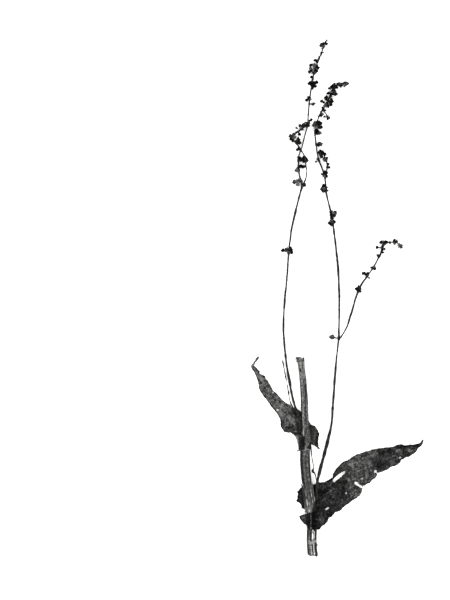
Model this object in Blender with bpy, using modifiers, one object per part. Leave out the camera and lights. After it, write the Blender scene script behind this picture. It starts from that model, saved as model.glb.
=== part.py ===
"""A dried, pressed sprig of sorrel lying on a table, as picked.

Pieces: a ribbed main stem cut at both ends, two stem leaves that clasp it with arrow-shaped lobes, a papery
sheath (ocrea) above each leaf, and three fruiting branches. Metres, +Z up. The sprig lies along +Y with its cut
foot towards -Y, it rests on the plane z = 0, and the origin is under the middle of its outline.
"""

import math

import bmesh
import bpy
import numpy as np

SPRIG = "sorrel_sprig"

# Main stem: x, y, z of the centre line and half the width there, from the cut foot to the broken top.
STEM_ROUTE = (
    (-0.0170, -0.1806, 0.0021, 0.0034),
    (-0.0177, -0.1700, 0.0021, 0.0034),
    (-0.0177, -0.1620, 0.0023, 0.0032),
    (-0.0182, -0.1516, 0.0030, 0.0032),
    (-0.0190, -0.1432, 0.0035, 0.0034),
    (-0.0206, -0.1327, 0.0036, 0.0032),
    (-0.0221, -0.1200, 0.0036, 0.0034),
    (-0.0225, -0.1096, 0.0036, 0.0034),
    (-0.0222, -0.1030, 0.0034, 0.0032),
    (-0.0223, -0.0942, 0.0032, 0.0026),
    (-0.0226, -0.0823, 0.0030, 0.0025),
    (-0.0229, -0.0711, 0.0027, 0.0024),
    (-0.0236, -0.0592, 0.0020, 0.0023),
    (-0.0246, -0.0494, 0.0015, 0.0023),
    (-0.0256, -0.0415, 0.0015, 0.0024),
)
STEM_STEP = 0.0055
STEM_SIDES = 24
STEM_RIBS = 8
STEM_RIB_HEIGHT = 0.05
STEM_FLATTENING = 0.68
STEM_UNDERSIDE = 0.62

# Leaf thickness, and how finely the cages below are divided between their rows and across them.
LEAF_THICKNESS = 0.0006
LEAF_ROW_STEPS = 2
LEAF_CROSS_STEPS = 1

# Lower leaf: rows of seven points from the lower margin over the midrib to the upper margin. The first row is the
# edge of the slit between the two basal lobes: the front lobe crosses over the stem, the back lobe passes under.
LOWER_LEAF_BASE = (
    ((-0.0260, -0.1516, 0.0034), (-0.0217, -0.1500, 0.0060), (-0.0165, -0.1493, 0.0064),
     (-0.0133, -0.1483, 0.0033), (-0.0161, -0.1471, 0.0005), (-0.0214, -0.1465, 0.00035),
     (-0.0255, -0.1450, 0.00035)),
    ((-0.0231, -0.1561, 0.0043), (-0.0193, -0.1540, 0.0061), (-0.0151, -0.1523, 0.0060),
     (-0.0116, -0.1478, 0.0026), (-0.0144, -0.1435, 0.0008), (-0.0207, -0.1423, 0.00035),
     (-0.0274, -0.1406, 0.00035)),
    ((-0.0199, -0.1609, 0.0052), (-0.0165, -0.1593, 0.0057), (-0.0126, -0.1554, 0.0044),
     (-0.0095, -0.1470, 0.0019), (-0.0130, -0.1400, 0.0009), (-0.0203, -0.1380, 0.00035),
     (-0.0279, -0.1362, 0.00035)),
    ((-0.0165, -0.1617, 0.0059), (-0.0138, -0.1588, 0.0052), (-0.0109, -0.1542, 0.0034),
     (-0.0079, -0.1460, 0.0016), (-0.0116, -0.1385, 0.0009), (-0.0190, -0.1361, 0.0004),
     (-0.0260, -0.1341, 0.00035)),
    ((-0.0133, -0.1615, 0.0043), (-0.0112, -0.1582, 0.0032), (-0.0091, -0.1530, 0.0024),
     (-0.0063, -0.1449, 0.0013), (-0.0102, -0.1369, 0.0009), (-0.0175, -0.1342, 0.0004),
     (-0.0241, -0.1320, 0.00035)),
)
# The rest of the lower leaf: lower margin, midrib and upper margin.
LOWER_LEAF_BLADE = (
    ((-0.0073, -0.1559, 0.0016), (-0.0014, -0.1409, 0.0010), (-0.0172, -0.1303, 0.0008)),
    ((-0.0014, -0.1499, 0.0009), (0.0034, -0.1374, 0.0011), (-0.0084, -0.1280, 0.0014)),
    ((0.0056, -0.1453, 0.0014), (0.0084, -0.1338, 0.0012), (-0.0028, -0.1233, 0.0016)),
    ((0.0116, -0.1411, 0.0020), (0.0134, -0.1303, 0.0014), (0.0034, -0.1165, 0.0020)),
    ((0.0168, -0.1349, 0.0018), (0.0188, -0.1265, 0.0015), (0.0112, -0.1126, 0.0024)),
    ((0.0230, -0.1294, 0.0008), (0.0245, -0.1226, 0.0015), (0.0196, -0.1087, 0.0020)),
    ((0.0288, -0.1238, 0.0006), (0.0308, -0.1188, 0.0015), (0.0279, -0.1064, 0.0014)),
    ((0.0351, -0.1200, 0.0010), (0.0370, -0.1150, 0.0018), (0.0357, -0.1049, 0.0014)),
    ((0.0417, -0.1161, 0.0018), (0.0431, -0.1112, 0.0022), (0.0431, -0.1032, 0.0020)),
    ((0.0482, -0.1114, 0.0020), (0.0491, -0.1075, 0.0024), (0.0497, -0.1034, 0.0026)),
    ((0.0536, -0.1080, 0.0024), (0.0540, -0.1058, 0.0030), (0.0543, -0.1037, 0.0032)),
    ((0.0573, -0.1037, 0.0036), (0.0577, -0.1029, 0.0038), (0.0581, -0.1022, 0.0040)),
    ((0.0598, -0.0998, 0.0048), (0.0602, -0.0995, 0.0050), (0.0606, -0.0992, 0.0050)),
)
# How far the two halves of the blade bulge above a flat ruling from margin to midrib.
LOWER_LEAF_BULGE = 0.0009

# Upper leaf: rows of seven points, from the flap over the stem's left side, round its left and under it to the lobe
# on its right. After them come margins and midrib.
UPPER_LEAF_BASE = (
    ((-0.0229, -0.1054, 0.0065), (-0.0254, -0.1058, 0.0057), (-0.0268, -0.1059, 0.0034),
     (-0.0253, -0.1056, 0.0011), (-0.0218, -0.1042, 0.0005), (-0.0182, -0.1022, 0.0005),
     (-0.0120, -0.1056, 0.0008)),
    ((-0.0224, -0.1016, 0.00635), (-0.0251, -0.1020, 0.0057), (-0.0268, -0.1024, 0.0033),
     (-0.0253, -0.1019, 0.0010), (-0.0216, -0.1006, 0.00045), (-0.0179, -0.0994, 0.0005),
     (-0.0132, -0.1013, 0.0010)),
    ((-0.0230, -0.0978, 0.0061), (-0.0250, -0.0983, 0.0055), (-0.0272, -0.0989, 0.0029),
     (-0.0260, -0.0980, 0.0009), (-0.0220, -0.0968, 0.0004), (-0.0177, -0.0956, 0.0006),
     (-0.0131, -0.0969, 0.0014)),
    ((-0.0240, -0.0953, 0.0057), (-0.0259, -0.0957, 0.0048), (-0.0292, -0.0964, 0.0017),
     (-0.0272, -0.0950, 0.0009), (-0.0234, -0.0934, 0.0004), (-0.0185, -0.0922, 0.0006),
     (-0.0125, -0.0943, 0.0016)),
    ((-0.0282, -0.0942, 0.0024), (-0.0294, -0.0946, 0.0020), (-0.0303, -0.0949, 0.0014),
     (-0.0280, -0.0932, 0.0009), (-0.0239, -0.0914, 0.0004), (-0.0194, -0.0902, 0.00055),
     (-0.0139, -0.0917, 0.0013)),
    ((-0.0333, -0.0941, 0.0008), (-0.0319, -0.0932, 0.0009), (-0.0303, -0.0923, 0.0009),
     (-0.0280, -0.0906, 0.0008), (-0.0246, -0.0889, 0.0004), (-0.0206, -0.0878, 0.0005),
     (-0.0153, -0.0894, 0.0010)),
    ((-0.0365, -0.0936, 0.0005), (-0.0349, -0.0916, 0.0008), (-0.0333, -0.0896, 0.0009),
     (-0.0307, -0.0869, 0.0007), (-0.0272, -0.0846, 0.0005), (-0.0235, -0.0836, 0.0005),
     (-0.0199, -0.0855, 0.0006)),
    ((-0.0389, -0.0890, 0.0006), (-0.0374, -0.0870, 0.0009), (-0.0361, -0.0858, 0.0012),
     (-0.0340, -0.0835, 0.0010), (-0.0315, -0.0812, 0.0007), (-0.0286, -0.0796, 0.0008),
     (-0.0249, -0.0794, 0.0007)),
)
UPPER_LEAF_BLADE = (
    ((-0.0399, -0.0837, 0.0009), (-0.0360, -0.0788, 0.0009), (-0.0298, -0.0767, 0.0010)),
    ((-0.0423, -0.0796, 0.0010), (-0.0389, -0.0753, 0.0011), (-0.0346, -0.0736, 0.0012)),
    ((-0.0465, -0.0746, 0.0006), (-0.0430, -0.0705, 0.0011), (-0.0395, -0.0703, 0.0010)),
    ((-0.0505, -0.0691, 0.0005), (-0.0473, -0.0652, 0.0012), (-0.0444, -0.0655, 0.0009)),
    ((-0.0540, -0.0635, 0.0007), (-0.0510, -0.0606, 0.0013), (-0.0477, -0.0603, 0.0012)),
    ((-0.0552, -0.0579, 0.0012), (-0.0531, -0.0563, 0.0015), (-0.0505, -0.0551, 0.0016)),
    ((-0.0567, -0.0542, 0.0016), (-0.0553, -0.0531, 0.0018), (-0.0532, -0.0533, 0.0020)),
    ((-0.0589, -0.0503, 0.0020), (-0.0577, -0.0496, 0.0022), (-0.0557, -0.0492, 0.0024)),
    ((-0.0599, -0.0477, 0.0024), (-0.0591, -0.0472, 0.0026), (-0.0582, -0.0470, 0.0028)),
    ((-0.0584, -0.0449, 0.0032), (-0.0579, -0.0447, 0.0034), (-0.0574, -0.0451, 0.0036)),
    ((-0.0566, -0.0424, 0.0040), (-0.0562, -0.0425, 0.0042), (-0.0559, -0.0428, 0.0042)),
    ((-0.0549, -0.0406, 0.0046), (-0.0546, -0.0408, 0.0046), (-0.0543, -0.0410, 0.0046)),
)
UPPER_LEAF_BULGE = 0.0006

# Tears, insect holes and chips, each an upright oval prism: x, y of its middle, half its length, half its width and
# the way it points in degrees from +X.
CUTS = {
    "lower_leaf": (
        (0.0016, -0.1243, 0.0054, 0.0011, 40),
        (-0.0066, -0.1469, 0.0014, 0.0006, 10),
        (0.0176, -0.1260, 0.0005, 0.0004, 0),
        (0.0066, -0.1367, 0.0005, 0.0004, 0),
        (0.0441, -0.1110, 0.0005, 0.0004, 0),
        (0.0155, -0.1318, 0.0038, 0.0006, 139),
        (0.0289, -0.1231, 0.0034, 0.0005, 135),
        (-0.0276, -0.1384, 0.0014, 0.0005, 10),
        (-0.0263, -0.1457, 0.0012, 0.0005, 20),
    ),
    "upper_leaf": (
        (-0.0447, -0.0659, 0.0007, 0.0005, 60),
        (-0.0412, -0.0783, 0.0007, 0.0005, 50),
        (-0.0516, -0.0549, 0.0012, 0.0004, 150),
    ),
    "main_stem": (
        (-0.0140, -0.1774, 0.0020, 0.0006, 92),
        (-0.0143, -0.1721, 0.0007, 0.0005, 90),
        (-0.0262, -0.0415, 0.0013, 0.0003, 95),
        (-0.0248, -0.0410, 0.0018, 0.0004, 80),
        (-0.0272, -0.0405, 0.0012, 0.0004, 70),
    ),
}
CUT_SIDES = 10
CUT_DEPTH = 0.02

# Papery sheaths: the stretch of stem that each covers, in y, and the angles round the stem, 90 degrees being its top.
OCREAE = {
    "lower_ocrea": (-0.1478, -0.1325, 55, 175),
    "upper_ocrea": (-0.1045, -0.0935, 12, 80),
}
OCREA_THICKNESS = 0.0006
OCREA_GAP = 0.00045
OCREA_ROWS = 6
OCREA_COLUMNS = 8

# Branch axes: x, y, z of the centre line and the radius, from the axil to the tip.
LEFT_AXIS = (
    (-0.0263, -0.0935, 0.0040, 0.0007),
    (-0.0262, -0.0880, 0.0042, 0.0007),
    (-0.0265, -0.0830, 0.0041, 0.0007),
    (-0.0291, -0.0767, 0.0036, 0.0007),
    (-0.0307, -0.0711, 0.0030, 0.0007),
    (-0.0330, -0.0592, 0.0022, 0.0006),
    (-0.0351, -0.0477, 0.0016, 0.0006),
    (-0.0365, -0.0361, 0.0014, 0.0006),
    (-0.0374, -0.0221, 0.0013, 0.00055),
    (-0.0364, 0.0004, 0.0014, 0.00055),
    (-0.0351, 0.0139, 0.0018, 0.00055),
    (-0.0337, 0.0326, 0.0024, 0.0005),
    (-0.0320, 0.0473, 0.0024, 0.0006),
    (-0.0291, 0.0608, 0.0022, 0.0006),
    (-0.0257, 0.0739, 0.0022, 0.0006),
    (-0.0244, 0.0788, 0.0022, 0.0006),
    (-0.0262, 0.0856, 0.0020, 0.0005),
    (-0.0270, 0.0935, 0.0018, 0.00045),
    (-0.0266, 0.1005, 0.0016, 0.0004),
    (-0.0249, 0.1047, 0.0015, 0.0004),
    (-0.0225, 0.1140, 0.0015, 0.0004),
    (-0.0207, 0.1208, 0.0015, 0.0004),
    (-0.0200, 0.1290, 0.0018, 0.0004),
    (-0.0193, 0.1380, 0.0022, 0.0004),
    (-0.0182, 0.1460, 0.0024, 0.0004),
    (-0.0166, 0.1551, 0.0024, 0.00035),
    (-0.0147, 0.1628, 0.0022, 0.00035),
    (-0.0122, 0.1687, 0.0020, 0.00035),
    (-0.0102, 0.1740, 0.0018, 0.0003),
    (-0.0076, 0.1806, 0.0016, 0.0003),
)
LEFT_SPRAY = (
    (-0.0244, 0.0786, 0.0024, 0.0004),
    (-0.0222, 0.0830, 0.0030, 0.0004),
    (-0.0212, 0.0885, 0.0034, 0.0004),
    (-0.0220, 0.0942, 0.0038, 0.0004),
    (-0.0228, 0.0994, 0.0040, 0.0004),
    (-0.0252, 0.1037, 0.0040, 0.0004),
    (-0.0284, 0.1085, 0.0036, 0.0004),
    (-0.0308, 0.1113, 0.0030, 0.0004),
    (-0.0316, 0.1138, 0.0030, 0.0004),
    (-0.0291, 0.1157, 0.0034, 0.0004),
    (-0.0259, 0.1176, 0.0038, 0.0004),
    (-0.0236, 0.1200, 0.0040, 0.0004),
    (-0.0207, 0.1220, 0.0040, 0.00035),
    (-0.0190, 0.1245, 0.0038, 0.0003),
)
LEFT_TWIG = (
    (-0.0277, -0.0800, 0.0039, 0.0003),
    (-0.0304, -0.0770, 0.0034, 0.0003),
    (-0.0325, -0.0732, 0.0030, 0.0003),
    (-0.0337, -0.0674, 0.0024, 0.0003),
    (-0.0348, -0.0610, 0.0019, 0.0003),
    (-0.0363, -0.0529, 0.0014, 0.0003),
    (-0.0380, -0.0431, 0.0010, 0.0003),
)
RIGHT_AXIS = (
    (-0.0144, -0.1405, 0.0043, 0.0009),
    (-0.0143, -0.1355, 0.0043, 0.0009),
    (-0.0137, -0.1281, 0.0040, 0.0009),
    (-0.0120, -0.1211, 0.0034, 0.0009),
    (-0.0095, -0.1121, 0.0026, 0.0009),
    (-0.0063, -0.1002, 0.0019, 0.0008),
    (-0.0038, -0.0886, 0.0016, 0.0007),
    (-0.0029, -0.0756, 0.0014, 0.0007),
    (-0.0013, -0.0543, 0.0013, 0.0007),
    (0.0007, -0.0328, 0.0014, 0.0006),
    (0.0013, -0.0277, 0.0015, 0.0008),
    (0.0014, -0.0186, 0.0014, 0.0006),
    (0.0017, -0.0032, 0.0014, 0.0006),
    (0.0014, 0.0095, 0.0014, 0.0006),
    (0.0001, 0.0284, 0.0016, 0.0006),
    (-0.0023, 0.0480, 0.0020, 0.0006),
    (-0.0039, 0.0585, 0.0022, 0.0006),
    (-0.0061, 0.0676, 0.0022, 0.0005),
    (-0.0076, 0.0746, 0.0022, 0.0005),
    (-0.0082, 0.0823, 0.0022, 0.0005),
    (-0.0106, 0.0914, 0.0018, 0.00045),
    (-0.0132, 0.0984, 0.0016, 0.0004),
    (-0.0145, 0.1068, 0.0018, 0.0004),
    (-0.0152, 0.1166, 0.0022, 0.0004),
    (-0.0141, 0.1236, 0.0024, 0.0004),
    (-0.0116, 0.1292, 0.0024, 0.0004),
    (-0.0084, 0.1348, 0.0024, 0.0004),
    (-0.0053, 0.1407, 0.0024, 0.00035),
    (-0.0032, 0.1460, 0.0022, 0.00035),
    (-0.0007, 0.1491, 0.0020, 0.00035),
    (0.0030, 0.1496, 0.0018, 0.0003),
    (0.0076, 0.1500, 0.0016, 0.0003),
)
RIGHT_SPRAY = (
    (-0.0082, 0.0820, 0.0022, 0.0004),
    (-0.0078, 0.0868, 0.0028, 0.0004),
    (-0.0070, 0.0915, 0.0030, 0.0004),
    (-0.0072, 0.0950, 0.0030, 0.0004),
    (-0.0085, 0.0990, 0.0028, 0.0004),
    (-0.0103, 0.1025, 0.0026, 0.0003),
)
RIGHT_TWIG = (
    (-0.0140, -0.1330, 0.0043, 0.0003),
    (-0.0146, -0.1270, 0.0042, 0.0003),
    (-0.0157, -0.1222, 0.0040, 0.0003),
    (-0.0167, -0.1202, 0.0038, 0.0005),
    (-0.0166, -0.1150, 0.0036, 0.0003),
    (-0.0172, -0.1100, 0.0034, 0.0003),
    (-0.0177, -0.1062, 0.0032, 0.0003),
)
HANGING_TWIG = (
    (-0.0098, 0.1318, 0.0024, 0.0003),
    (-0.0078, 0.1294, 0.0026, 0.0003),
    (-0.0064, 0.1266, 0.0024, 0.0003),
)
SIDE_AXIS = (
    (0.0028, -0.0270, 0.0018, 0.0004),
    (0.0050, -0.0234, 0.0017, 0.0004),
    (0.0076, -0.0182, 0.0016, 0.0004),
    (0.0092, -0.0127, 0.0015, 0.0004),
    (0.0112, -0.0065, 0.0015, 0.0004),
    (0.0128, -0.0008, 0.0016, 0.0004),
    (0.0148, 0.0048, 0.0020, 0.0004),
    (0.0170, 0.0097, 0.0022, 0.0004),
    (0.0200, 0.0140, 0.0020, 0.0004),
    (0.0241, 0.0197, 0.0018, 0.00035),
    (0.0262, 0.0230, 0.0018, 0.00035),
    (0.0290, 0.0285, 0.0020, 0.00035),
    (0.0311, 0.0325, 0.0022, 0.00035),
    (0.0322, 0.0370, 0.0022, 0.00035),
    (0.0343, 0.0390, 0.0022, 0.00035),
    (0.0374, 0.0393, 0.0020, 0.0003),
    (0.0410, 0.0396, 0.0018, 0.0003),
    (0.0438, 0.0374, 0.0016, 0.0003),
    (0.0458, 0.0356, 0.0014, 0.0003),
)
BRANCH_STEP = 0.0035
ROOTS_PER_STEP = 6
# A curve's bevel resolution 1 gives a tube of six sides.
BRANCH_BEVEL_RESOLUTION = 1

# Whorls of fruit: x, y of the whorl's middle, how far its fruits spread, how many there are and their size.
LEFT_WHORLS = (
    (-0.0386, 0.0329, 0.0010, 1, 0.0024), (-0.0338, 0.0334, 0.0022, 5, 0.0026),
    (-0.0277, 0.0814, 0.0024, 4, 0.0026), (-0.0231, 0.0791, 0.0010, 2, 0.0020),
    (-0.0280, 0.0893, 0.0016, 2, 0.0022), (-0.0252, 0.0922, 0.0022, 4, 0.0024),
    (-0.0242, 0.0972, 0.0030, 7, 0.0026), (-0.0273, 0.1047, 0.0013, 2, 0.0020),
    (-0.0203, 0.1397, 0.0018, 3, 0.0024), (-0.0168, 0.1362, 0.0012, 2, 0.0019),
    (-0.0168, 0.1495, 0.0030, 7, 0.0025), (-0.0178, 0.1540, 0.0010, 1, 0.0020),
    (-0.0159, 0.1574, 0.0013, 2, 0.0020), (-0.0150, 0.1617, 0.0027, 6, 0.0025),
    (-0.0188, 0.1612, 0.0016, 3, 0.0020), (-0.0152, 0.1667, 0.0009, 1, 0.0017),
    (-0.0124, 0.1682, 0.0013, 2, 0.0018), (-0.0112, 0.1711, 0.0010, 2, 0.0016),
    (-0.0103, 0.1742, 0.0008, 1, 0.0015), (-0.0091, 0.1776, 0.0020, 5, 0.0018),
    (-0.0077, 0.1800, 0.0006, 1, 0.0015),
)
LEFT_SPRAY_WHORLS = (
    (-0.0314, 0.1125, 0.0026, 6, 0.0024), (-0.0272, 0.1100, 0.0020, 4, 0.0023),
    (-0.0275, 0.1160, 0.0018, 3, 0.0021), (-0.0277, 0.1192, 0.0010, 1, 0.0018),
    (-0.0245, 0.1198, 0.0024, 6, 0.0024), (-0.0213, 0.1216, 0.0017, 4, 0.0022),
    (-0.0194, 0.1242, 0.0010, 2, 0.0019),
)
RIGHT_WHORLS = (
    (-0.0032, -0.0273, 0.0002, 1, 0.0036), (0.0008, -0.0277, 0.0008, 1, 0.0018),
    (-0.0032, 0.0588, 0.0025, 6, 0.0025), (-0.0046, 0.0529, 0.0018, 3, 0.0024),
    (-0.0016, 0.0543, 0.0010, 1, 0.0020), (-0.0089, 0.0768, 0.0024, 5, 0.0026),
    (-0.0132, 0.0975, 0.0008, 1, 0.0016), (-0.0123, 0.1081, 0.0018, 2, 0.0023),
    (-0.0138, 0.1159, 0.0020, 4, 0.0025), (-0.0142, 0.1216, 0.0028, 8, 0.0026),
    (-0.0116, 0.1281, 0.0017, 3, 0.0023), (-0.0090, 0.1313, 0.0013, 2, 0.0020),
    (-0.0077, 0.1400, 0.0014, 3, 0.0021), (-0.0056, 0.1365, 0.0025, 6, 0.0025),
    (-0.0104, 0.1379, 0.0013, 2, 0.0020), (-0.0060, 0.1435, 0.0011, 1, 0.0019),
    (-0.0026, 0.1442, 0.0022, 5, 0.0023), (-0.0039, 0.1404, 0.0013, 2, 0.0019),
    (-0.0025, 0.1481, 0.0024, 6, 0.0023), (0.0001, 0.1507, 0.0008, 1, 0.0016),
    (0.0021, 0.1495, 0.0015, 4, 0.0018), (0.0046, 0.1496, 0.0015, 4, 0.0018),
    (0.0069, 0.1500, 0.0014, 4, 0.0017),
)
RIGHT_SPRAY_WHORLS = (
    (-0.0085, 0.0868, 0.0022, 5, 0.0022), (-0.0061, 0.0924, 0.0018, 3, 0.0020),
    (-0.0079, 0.0976, 0.0015, 3, 0.0019), (-0.0101, 0.1012, 0.0024, 6, 0.0023),
)
HANGING_WHORLS = (
    (-0.0059, 0.1258, 0.0010, 2, 0.0020), (-0.0084, 0.1267, 0.0006, 1, 0.0017),
)
SIDE_WHORLS = (
    (0.0149, 0.0063, 0.0020, 5, 0.0023), (0.0186, 0.0175, 0.0008, 1, 0.0019),
    (0.0214, 0.0172, 0.0012, 2, 0.0018), (0.0226, 0.0147, 0.0006, 1, 0.0015),
    (0.0256, 0.0218, 0.0015, 3, 0.0019), (0.0290, 0.0301, 0.0015, 2, 0.0018),
    (0.0314, 0.0329, 0.0012, 3, 0.0017), (0.0284, 0.0361, 0.0004, 1, 0.0015),
    (0.0322, 0.0354, 0.0010, 2, 0.0015), (0.0308, 0.0397, 0.0006, 1, 0.0015),
    (0.0336, 0.0392, 0.0013, 3, 0.0016), (0.0371, 0.0393, 0.0010, 2, 0.0015),
    (0.0408, 0.0399, 0.0015, 4, 0.0017), (0.0441, 0.0368, 0.0015, 4, 0.0018),
    (0.0455, 0.0357, 0.0006, 1, 0.0015),
)
GOLDEN_ANGLE = math.radians(137.508)
PEDICEL_RADIUS = 0.0003
PEDICEL_SIDES = 3
FRUIT_WINGS = 3
FRUIT_WING_REACH = 0.52
FRUIT_WAIST_REACH = 0.22
FRUIT_LIFT = 0.85
FLOOR_CLEARANCE = 0.0001

STEM_COLOUR = (0.115, 0.112, 0.100, 1)
BRANCH_COLOUR = (0.070, 0.068, 0.060, 1)
LEAF_COLOUR = (0.045, 0.045, 0.040, 1)
OCREA_COLOUR = (0.300, 0.290, 0.265, 1)


def clear_scene():
    for old in list(bpy.data.objects):
        bpy.data.objects.remove(old)


def new_collection(name):
    collection = bpy.data.collections.new(name)
    bpy.context.scene.collection.children.link(collection)
    return collection


def plant_material(name, colour, roughness):
    material = bpy.data.materials.new(name)
    material.use_nodes = True
    shader = material.node_tree.nodes["Principled BSDF"]
    shader.inputs["Base Color"].default_value = colour
    shader.inputs["Roughness"].default_value = roughness
    shader.inputs["Metallic"].default_value = 0.0
    return material


def curve_through(points, knots, at):
    """Cubic Hermite curve through points[i] at knots[i], read at the given places; points may be rows of points."""
    points = np.asarray(points, float)
    slopes = np.gradient(points, knots, axis=0)
    first = np.clip(np.searchsorted(knots, at, side="right") - 1, 0, len(knots) - 2)
    shape = (-1,) + (1,) * (points.ndim - 1)
    span = (knots[first + 1] - knots[first]).reshape(shape)
    share = (at - knots[first]).reshape(shape) / span
    return (
        (2 * share**3 - 3 * share**2 + 1) * points[first]
        + (share**3 - 2 * share**2 + share) * span * slopes[first]
        + (3 * share**2 - 2 * share**3) * points[first + 1]
        + (share**3 - share**2) * span * slopes[first + 1]
    )


def smooth_route(route, step):
    """Points x, y, z, radius about a step apart on the smooth curve through the route's own points."""
    route = np.asarray(route, float)
    lengths = np.linalg.norm(np.diff(route[:, :3], axis=0), axis=1)
    knots = np.concatenate(([0.0], np.cumsum(lengths)))
    count = max(3, round(knots[-1] / step) + 1)
    return curve_through(route, knots, np.linspace(0, knots[-1], count))


def split_straight(points, pieces):
    """Each straight stretch between the points cut in equal pieces."""
    order = np.arange(len(points))
    places = np.linspace(0, order[-1], pieces * order[-1] + 1)
    return np.stack([np.interp(places, order, column) for column in points.T], axis=1)


def add_object(name, data, collection, material):
    made = bpy.data.objects.new(name, data)
    collection.objects.link(made)
    data.materials.append(material)
    return made


def add_curve(name, points, collection, material):
    """A POLY curve through points x, y, z, radius, with no thickness yet."""
    curve = bpy.data.curves.new(name, "CURVE")
    curve.dimensions = "3D"
    curve.twist_mode = "Z_UP"
    spline = curve.splines.new("POLY")
    spline.points.add(len(points) - 1)
    for place, (x, y, z, radius) in zip(spline.points, points):
        place.co = (x, y, z, 1)
        place.radius = radius
    return add_object(name, curve, collection, material)


def curve_to_mesh(made, collection):
    """The curve's tube as a mesh object with its caps welded; the curve is removed."""
    graph = bpy.context.evaluated_depsgraph_get()
    mesh = bpy.data.meshes.new_from_object(made.evaluated_get(graph))
    name = made.name
    tube = bpy.data.objects.new(name + "_tube", mesh)
    tube.matrix_world = made.matrix_world
    collection.objects.link(tube)
    bpy.data.objects.remove(made)
    welded = bmesh.new()
    welded.from_mesh(mesh)
    bmesh.ops.remove_doubles(welded, verts=welded.verts, dist=1e-6)
    bmesh.ops.recalc_face_normals(welded, faces=welded.faces)
    welded.to_mesh(mesh)
    welded.free()
    tube.name = name
    return tube


def stem_outline():
    """Cross-section for a half-width of one: ribbed, pressed flatter than it is wide, with a flat underside."""
    turn = np.linspace(0, 2 * math.pi, STEM_SIDES, endpoint=False)
    reach = 1 + STEM_RIB_HEIGHT * np.cos(STEM_RIBS * turn)
    across = reach * np.cos(turn)
    up = np.maximum(STEM_FLATTENING * reach * np.sin(turn), -STEM_UNDERSIDE)
    return across, up


def stem_route():
    """The stem's smooth route, kept high enough for its flat underside to touch the floor and not to sink in it."""
    route = smooth_route(STEM_ROUTE, STEM_STEP)
    route[:, 2] = np.maximum(route[:, 2], STEM_UNDERSIDE * route[:, 3])
    return route


def make_stem(parts, helpers, material):
    """The ribbed outline carried along the stem's route."""
    outline = bpy.data.curves.new("stem_outline", "CURVE")
    spline = outline.splines.new("POLY")
    spline.points.add(STEM_SIDES - 1)
    for place, across, up in zip(spline.points, *stem_outline()):
        place.co = (across, up, 0, 1)
    spline.use_cyclic_u = True
    guide = bpy.data.objects.new("stem_outline", outline)
    guide.hide_render = True
    guide.display_type = "WIRE"
    helpers.objects.link(guide)
    stem = add_curve("main_stem", stem_route(), parts, material)
    stem.data.bevel_mode = "OBJECT"
    stem.data.bevel_object = guide
    stem.data.use_fill_caps = True
    return curve_to_mesh(stem, parts)


def stem_at(y):
    """Centre line x, z and half-width of the main stem at a place along y."""
    route = stem_route()
    return tuple(np.interp(y, route[:, 1], route[:, column]) for column in (0, 2, 3))


def ruled_row(margin, midrib, other_margin, places, bulge):
    """A row across the blade: straight from margin to midrib to margin, each half raised in its middle."""
    places = np.asarray(places)[:, None]
    near = np.array(margin) * np.maximum(-places, 0) + np.array(other_margin) * np.maximum(places, 0)
    row = near + np.array(midrib) * (1 - np.abs(places))
    row[:, 2] += bulge * np.sin(math.pi * np.abs(places[:, 0]))
    return row


def leaf_cage(base_rows, blade_rows, bulge):
    """Every row of the leaf with the same number of points, from its base to its tip."""
    places = np.linspace(-1, 1, len(base_rows[0]))
    ruled = [ruled_row(*row, places, bulge * np.linalg.norm(np.subtract(row[0], row[2])) / 0.02) for row in blade_rows]
    return np.concatenate((np.array(base_rows, float), ruled))


def refined(cage, row_steps, cross_steps):
    """The cage read off a smooth surface through its points, with more rows and columns."""
    for steps in (row_steps, cross_steps):
        knots = np.arange(len(cage), dtype=float)
        cage = curve_through(cage, knots, np.linspace(0, knots[-1], steps * (len(cage) - 1) + 1))
        cage = cage.swapaxes(0, 1)
    return cage


def make_sheet(name, grid, thickness, parts, material):
    """A thin solid round a grid of points. It is split into triangles first, alike on both faces."""
    rows, columns = grid.shape[:2]
    index = np.arange(rows * columns).reshape(rows, columns)
    quads = np.stack((index[:-1, :-1], index[:-1, 1:], index[1:, 1:], index[1:, :-1]), axis=-1).reshape(-1, 4)
    mesh = bpy.data.meshes.new(name)
    mesh.from_pydata(grid.reshape(-1, 3).tolist(), [], quads.tolist())
    sheet = add_object(name, mesh, parts, material)
    sheet.modifiers.new("triangles", "TRIANGULATE")
    wall = sheet.modifiers.new("thickness", "SOLIDIFY")
    wall.thickness = thickness
    wall.offset = 0.0
    return sheet


def cut_through(target, cuts):
    """Every oval prism in the list taken out of the target, top to bottom."""
    cutters = new_collection(target.name + "_cutters")
    for number, (x, y, half_length, half_width, degrees) in enumerate(cuts):
        made = bmesh.new()
        bmesh.ops.create_cone(
            made, cap_ends=True, segments=CUT_SIDES, radius1=1.0, radius2=1.0, depth=CUT_DEPTH
        )
        mesh = bpy.data.meshes.new(f"{target.name}_cutter_{number}")
        made.to_mesh(mesh)
        made.free()
        cutter = bpy.data.objects.new(mesh.name, mesh)
        cutter.location = (x, y, 0.0)
        cutter.rotation_euler.z = math.radians(degrees)
        cutter.scale = (half_length, half_width, 1.0)
        cutter.hide_render = True
        cutter.display_type = "WIRE"
        cutters.objects.link(cutter)
    cut = target.modifiers.new("cuts", "BOOLEAN")
    cut.operation = "DIFFERENCE"
    cut.operand_type = "COLLECTION"
    cut.collection = cutters
    cut.solver = "MANIFOLD"


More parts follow.
